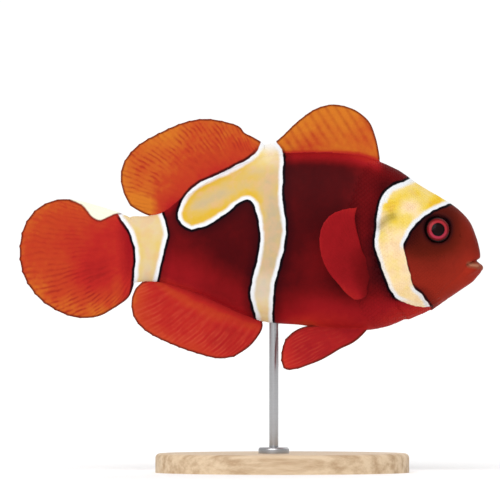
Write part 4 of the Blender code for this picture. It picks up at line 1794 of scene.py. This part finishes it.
@dataclass
class Coat:
    """The scales of one side, each a thin closed plate over the skin."""

    side: Side
    reach: tuple = (-31.6, 50.5)  # the x of the rearmost scales' roots, and where they end
    pitch: float = 1.25
    head_pitch: float = 0.9
    head_starts: tuple = (33, 40)  # the x between which the pitch becomes the head's
    stalk_share: float = 0.62  # of the pitch, which is left where the body has no height
    full_girth: float = 27.0  # from the middle of the flank to the back, where the pitch is full
    overlap: float = 0.56  # pitches from one column to the next
    bare_edge: float = 0.6  # pitches along the back and the belly without a root
    half_column: int = 60  # more scales than there is room for from mid flank to the back
    scale_reach: tuple = (0.62, 0.56)  # a scale's reach along the body and round it, in pitches
    corners: int = 9
    taper: float = 0.88
    raised: float = 0.09  # how far a scale's free edge stands up
    face_raised: float = 0.03  # the same near the face
    face_starts: tuple = (52, 45)  # the x between which it falls to that
    root_sunk: float = 0.03
    sunk: float = 0.1
    crease: float = 50.0
    rim_starts: tuple = (0.35, 1)  # the shares of a scale's reach between which its rim is shaded
    rim_turn: tuple = (-0.2, 0.6)  # the same towards its free end
    # Where the unwrap of a side starts, its size, and the size of a scale on it.
    map_start: tuple = (0.04, 0.5)
    map_size: tuple = (0.92, 0.9)
    map_scale: float = 0.0015
    eye_gap: float = 5.0  # from the middle of the eye to the nearest scale
    rear_eye_gap: float = 5.2  # the same behind the eye
    behind_eye: tuple = (43.5, 47, 1)  # the x between which that holds, and the z above which
    # The x and z round which the head is scaled, how much flatter that oval is, and its reach.
    cheek: tuple = (38, 2, 0.55, 13.5)
    pectoral_root: tuple = ((30.6, -3), (30.4, -8), (29.6, -12.8))
    pectoral_gap: float = 1.2

    def build(self, finish: Material) -> Piece:
        """Build the coat.

        Args:
            finish: Its material.

        Returns:
            The piece.
        """
        roots = self._roots()
        plate, faces = self._plate()
        local = np.tile(plate, (len(roots), 1))
        back, up, level = local.T
        spread = np.repeat(np.column_stack([roots, *self._slopes(roots)]), len(plate), axis=0)
        along, angle, size, slope, turn = spread.T
        place, out = BODY.frame(along - back * size * slope, angle + up * size * turn, self.side.value)
        fade = rise(*self.face_starts, place[:, 0])
        edge = self.face_raised + (self.raised - self.face_raised) * fade
        tilted = (edge + self.root_sunk) * (0.5 + 0.5 * back) - self.root_sunk
        lift = RELIEF.lift(place) - Skin.depth + np.where(level > 0, tilted, -self.sunk)
        name = f"clownfish_scales_{self.side.name.lower()}"
        mesh = bpy.data.meshes.new(name)
        order = -1 if self.side is Side.RIGHT else 1
        starts = range(0, len(local), len(plate))
        shapes = [[start + corner for corner in face[::order]] for start in starts for face in faces]
        mesh.from_pydata(to_frame(place + out * lift[:, None]).tolist(), [], shapes)
        write_values(mesh, part=-1, out=0, back=0)
        Painter(mesh).paint()
        rim = rise(*self.rim_starts, np.hypot(back, up)) * rise(*self.rim_turn, back)
        write_values(mesh, rim=rim * fade)
        self._unwrap(mesh, np.stack([along, angle / np.pi], axis=1), local)
        return finished(mesh, name, finish, self.crease)

    def _plate(self) -> tuple[Array, list]:
        """Shape one plate.

        Returns:
            Its points as back, up and level, and its faces.
        """
        bm = bmesh.new()
        bmesh.ops.create_cone(
            bm, cap_ends=True, segments=self.corners, radius1=1, radius2=self.taper, depth=1,
        )  # fmt: skip
        face_outwards(bm)
        # The plate's x runs to the rear of the fish and its y up, which turns it over on the left.
        points = np.array([vert.co[:] for vert in bm.verts])
        faces = [[vert.index for vert in face.verts][::-1] for face in bm.faces]
        bm.free()
        return points, faces

    def _roots(self) -> Array:
        """Find where the scales root, column by column from the tail.

        Returns:
            Each scale's place along the body, its turn and its size.
        """
        turn = np.radians(np.arange(-90, 90.1))
        found, x = [], self.reach[0]
        while x < self.reach[1]:
            along = BODY.at(np.array([x]), np.zeros(1))[0][0]
            ring = BODY.surface(np.full(len(turn), along), turn)
            arc = np.concatenate([[0], np.cumsum(np.linalg.norm(np.diff(ring, axis=0), axis=1))])
            arc -= arc[len(turn) // 2]
            size = self.stalk_share + (1 - self.stalk_share) * arc[-1] / self.full_girth
            head = rise(*self.head_starts, x)
            pitch = self.pitch * size * (1 - head) + self.head_pitch * head
            arcs = (np.arange(-self.half_column, self.half_column + 1) + 0.5 * (len(found) % 2)) * pitch
            bare = self.bare_edge * pitch
            arcs = arcs[(arcs > arc[0] + bare) & (arcs < arc[-1] - bare)]
            found.append([(along, angle, pitch) for angle in np.interp(arcs, arc, turn)])
            x += pitch * self.overlap
        roots = np.concatenate(found)
        return roots[self._scaled(BODY.surface(*roots.T[:2]))]

    def _scaled(self, spots: Array) -> Array:
        """Find where scales may root: not on the face, round the eye or on the fin's root.

        Args:
            spots: Points of the surface.

        Returns:
            Whether a scale may root at each.
        """
        x, _, z = spots.T
        eye = np.hypot(x - RELIEF.eye_place[0], z - RELIEF.eye_place[1])
        start, end, low = self.behind_eye
        gap = np.where((x > start) & (x < end) & (z > low), self.rear_eye_gap, self.eye_gap)
        middle_x, middle_z, flat, reach = self.cheek
        keep = (eye > gap) & (np.hypot(x - middle_x, (z - middle_z) * flat) < reach)
        return keep & (SideLine(self.pectoral_root).measure(spots[:, [0, 2]])[0] > self.pectoral_gap)

    def _slopes(self, roots: Array) -> list[Array]:
        """How much the place along, and the turn, change over a scale's reach for each pitch.

        Args:
            roots: The scales' roots.

        Returns:
            The two changes for each scale.
        """
        step = 0.001
        moves = BODY.slopes(*roots.T[:2], step)
        sizes = [np.maximum(np.linalg.norm(move, axis=1), 1e-6) for move in moves]
        return [2 * step * reach / size for reach, size in zip(self.scale_reach, sizes)]

    def _unwrap(self, mesh: Mesh, root: Array, local: Array) -> None:
        """Give each scale a small patch at its root's place on an unwrap of the body's side.

        Args:
            mesh: The coat.
            root: For each point, its scale's root along the body and round it.
            local: Its place on its own scale.
        """
        spots = self.map_start + root * self.map_size + self.map_scale * local[:, :2]
        corners = np.empty(len(mesh.loops), np.int32)
        mesh.loops.foreach_get("vertex_index", corners)
        layer = mesh.uv_layers.new(name="OFBake")
        layer.data.foreach_set("uv", spots[corners].astype(np.float32).ravel())


@dataclass
class Eye:
    """One eyeball, flattened and set into the head."""

    side: Side
    around: int = 64
    rings: int = 40
    slope_step: float = 0.5  # how far to each side the flank is read for its slope
    low: tuple = (0.6, -1.8)  # the heights between which the ring takes its lower colour

    def build(self, finish: Material) -> Piece:
        """Build the eye.

        Args:
            finish: Its material.

        Returns:
            The piece.
        """
        x, z = RELIEF.eye_place
        step = self.slope_step
        across = (BODY.flank(x + step, z) - BODY.flank(x - step, z)) / (2 * step)
        upward = (BODY.flank(x, z + step) - BODY.flank(x, z - step)) / (2 * step)
        out = Vector((-across, 1, -upward)).normalized()
        centre = Vector((x, BODY.flank(x, z), z)) - out * RELIEF.eye_sink
        turn = out.to_track_quat("Z", "Y").to_matrix().to_4x4()
        size = Matrix.Diagonal((RELIEF.eye_radius, RELIEF.eye_radius, RELIEF.eye_depth_radius, 1))
        bm = bmesh.new()
        bmesh.ops.create_uvsphere(
            bm, u_segments=self.around, v_segments=self.rings, radius=1,
            matrix=Matrix.Diagonal((1, self.side.value, 1, 1)) @ Matrix.Translation(centre) @ turn @ size,
        )  # fmt: skip
        face_outwards(bm)
        name = f"eye_ball_{self.side.name.lower()}"
        mesh = mesh_from(bm, name)
        place = read_points(mesh)
        write_points(mesh, to_frame(place))
        away, _, up = (place - (x, 0, z)).T
        write_values(mesh, radius=np.hypot(away, up), low=rise(*self.low, up))
        return finished(mesh, name, finish)


@dataclass
class Stand:
    """The display stand: an oval plate, a rod up to the belly and a collar round its foot."""

    plate_corners: int = 160
    plate_round: float = 1.2
    groove_inset: float = 3.2
    groove_width: float = 0.28  # of each of its walls
    groove_depth: float = 0.3
    plate_steps: int = 6  # in which its edge is rounded
    rod_corners: int = 48
    rod_round: float = 0.15
    collar_round: float = 0.7
    turned_steps: int = 5
    crease: float = 35.0

    def build_plate(self, finish: Material) -> Piece:
        """Build the oval plate, with a softened edge and a fine groove inside it.

        Args:
            finish: Its material.

        Returns:
            The piece.
        """
        low, high = (np.array(corner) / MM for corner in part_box("stand_base"))
        centre, half, height = (low + high) / 2, (high - low) / 2, high[2]
        bm = bmesh.new()
        bmesh.ops.create_circle(
            bm, cap_ends=True, segments=self.plate_corners, radius=1,
            matrix=Matrix.Translation((*centre[:2], 0)) @ Matrix.Diagonal((*half[:2], 1, 1)),
        )  # fmt: skip
        raised = moved_verts(bmesh.ops.extrude_face_region(bm, geom=bm.faces[:]))
        bmesh.ops.translate(bm, vec=(0, 0, height), verts=raised)
        top = [face for face in bm.faces if set(raised).issuperset(face.verts)]
        sides = [face for face in bm.faces if len(face.verts) == 4]
        walls = (self.groove_width, -self.groove_depth), (self.groove_width, self.groove_depth)
        for thickness, depth in ((self.groove_inset, 0), *walls):
            bmesh.ops.inset_region(bm, faces=top, thickness=thickness, depth=depth)
        rim = [edge for side in sides for edge in side.edges if min(vert.co.z for vert in edge.verts) > 0]
        return self._finish(bm, rim, self.plate_round, self.plate_steps, "stand_plate", finish)

    def build_post(self, finish: Material) -> Piece:
        """Build the rod, which runs on into the belly."""
        return self._turned(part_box("stand_rod"), self.rod_round, "stand_post", finish)

    def build_collar(self, finish: Material) -> Piece:
        """Build the collar round the rod's foot, with a softened top."""
        return self._turned(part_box("stand_collar"), self.collar_round, "stand_ring", finish)

    def _turned(self, box: tuple, soft: float, name: str, finish: Material) -> Piece:
        """Build a round piece between two corners.

        Args:
            box: Its lowest and highest corner.
            soft: How far its ends are rounded.
            name: The piece's name.
            finish: Its material.

        Returns:
            The piece.
        """
        low, high = (np.array(corner) / MM for corner in box)
        radius = (high[0] - low[0]) / 2
        bm = bmesh.new()
        bmesh.ops.create_cone(
            bm, cap_ends=True, segments=self.rod_corners, radius1=radius, radius2=radius,
            depth=high[2] - low[2], matrix=Matrix.Translation(Vector((low + high) / 2)),
        )  # fmt: skip
        ends = [edge for edge in bm.edges if abs(edge.verts[0].co.z - edge.verts[1].co.z) < 1e-6]
        return self._finish(bm, ends, soft, self.turned_steps, name, finish)

    def _finish(self, bm: BMesh, edges: list, soft: float, steps: int, name: str, finish: Material) -> Piece:
        """Round a stand piece's edges and turn its bmesh, in millimetres, into the piece.

        Args:
            bm: The bmesh.
            edges: The edges to round.
            soft: How far they are rounded.
            steps: In how many steps.
            name: The piece's name.
            finish: Its material.

        Returns:
            The piece.
        """
        bmesh.ops.bevel(bm, geom=edges, offset=soft, segments=steps, profile=0.5, affect="EDGES", material=-1)
        bmesh.ops.scale(bm, vec=(MM, MM, MM), verts=bm.verts)
        face_outwards(bm)
        return finished(mesh_from(bm, name), name, finish, self.crease)


@dataclass
class Studio:
    """The pale floor, the soft light and the camera."""

    floor_radius: float = 6.0
    floor_corners: int = 96
    floor_roughness: float = 0.9
    floor_specular: float = 0.1
    floor_grain: float = 120.0
    floor_fleck: float = 0.02
    paper: tuple = tint(252, 252, 252)
    paper_dark: tuple = tint(225, 225, 225)
    # Each soft light's name, strength, turn in degrees, and width in degrees as the fish sees it.
    suns: tuple = (("key", 1.9, (48, 0, -14), 50), ("back_fill", 0.7, (50, 0, 160), 70))
    world_light: float = 0.6
    world_seen: float = 0.45  # how much brighter the surroundings look than they light
    camera_distance: float = 2.0
    framed_width: float = 0.13
    sensor: float = 36.0
    aim: tuple = (-0.00039, 0, 0.05785)

    def build(self) -> None:
        """Set up the whole studio."""
        self._floor()
        for name, power, turn, softness in self.suns:
            light = bpy.data.lights.new(name, "SUN")
            light.energy, light.angle = power, math.radians(softness)
            place_object(light, name).rotation_euler = [math.radians(value) for value in turn]
        self._world()
        self._camera()

    def _floor(self) -> None:
        """A wide pale floor."""
        bm = bmesh.new()
        bmesh.ops.create_circle(bm, cap_ends=True, segments=self.floor_corners, radius=self.floor_radius)
        mesh = mesh_from(bm, "studio_floor")
        made, w = new_material("studio_paper")
        colour = w.mix(w.noise(self.floor_grain) * self.floor_fleck, self.paper, self.paper_dark)
        w.lead(Base_Color=colour, Roughness=self.floor_roughness, Specular_IOR_Level=self.floor_specular)
        mesh.materials.append(made)
        place_object(mesh, "studio_floor")

    def _world(self) -> None:
        """White surroundings, a little dimmer as light than they look."""
        world = bpy.data.worlds.new("studio")
        bpy.context.scene.world = world
        world.use_nodes = True
        w = Wiring(world.node_tree, world.node_tree.nodes["Background"])
        seen = Signal(w, w.node("ShaderNodeLightPath").outputs["Is Camera Ray"])
        w.lead(Color=(1, 1, 1, 1), Strength=seen * self.world_seen + self.world_light)

    def _camera(self) -> None:
        """The camera, level with the fish and square to its right side."""
        data = bpy.data.cameras.new("camera")
        data.sensor_width = self.sensor
        data.lens = self.sensor * self.camera_distance / self.framed_width
        data.clip_start, data.clip_end = 0.01, 50
        camera = place_object(data, "camera")
        camera.location = Vector(self.aim) - Vector((0, self.camera_distance, 0))
        camera.rotation_euler = (math.radians(90), 0, 0)
        bpy.context.scene.camera = camera


def report(piece: Piece, slot: str, *nodes: str) -> None:
    """Ride a piece on the frame, hide the CAD nodes that it stands for, and log its triangles.

    Args:
        piece: The finished piece.
        slot: A material slot's name; not used.
        *nodes: The CAD nodes that it stands for.
    """
    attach(piece, "root")
    if nodes:
        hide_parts(*nodes)
    piece.data.calc_loop_triangles()
    log.info("%s: %d triangles", piece.name, len(piece.data.loop_triangles))


def main() -> None:
    """Build the fish, its stand and the studio."""
    logging.basicConfig(level=logging.INFO, format="%(message)s")
    group = MarkingsGroup(SkinColours()).build()
    skin_finish = SkinFinish("clownfish_skin").material(group)
    scale_finish = SkinFinish("clownfish_scales", scales=True).material(group)
    report(Skin().build(skin_finish), "body_skin", *FLESH_NODES)
    for side in Side:
        report(Coat(side).build(scale_finish), "body_skin")
    eye_finish = EyeFinish().material()
    for side in Side:
        report(Eye(side).build(eye_finish), "eye", f"eye_{side.name.lower()}")
    stand, steel = Stand(), SteelFinish().material()
    report(stand.build_plate(WoodFinish().material()), "stand_wood", "stand_base")
    report(stand.build_post(steel), "stand_steel", "stand_rod")
    report(stand.build_collar(steel), "stand_steel", "stand_collar")
    Studio().build()
    bpy.context.scene.view_settings.view_transform = "Standard"


if __name__ == "__main__":
    main()
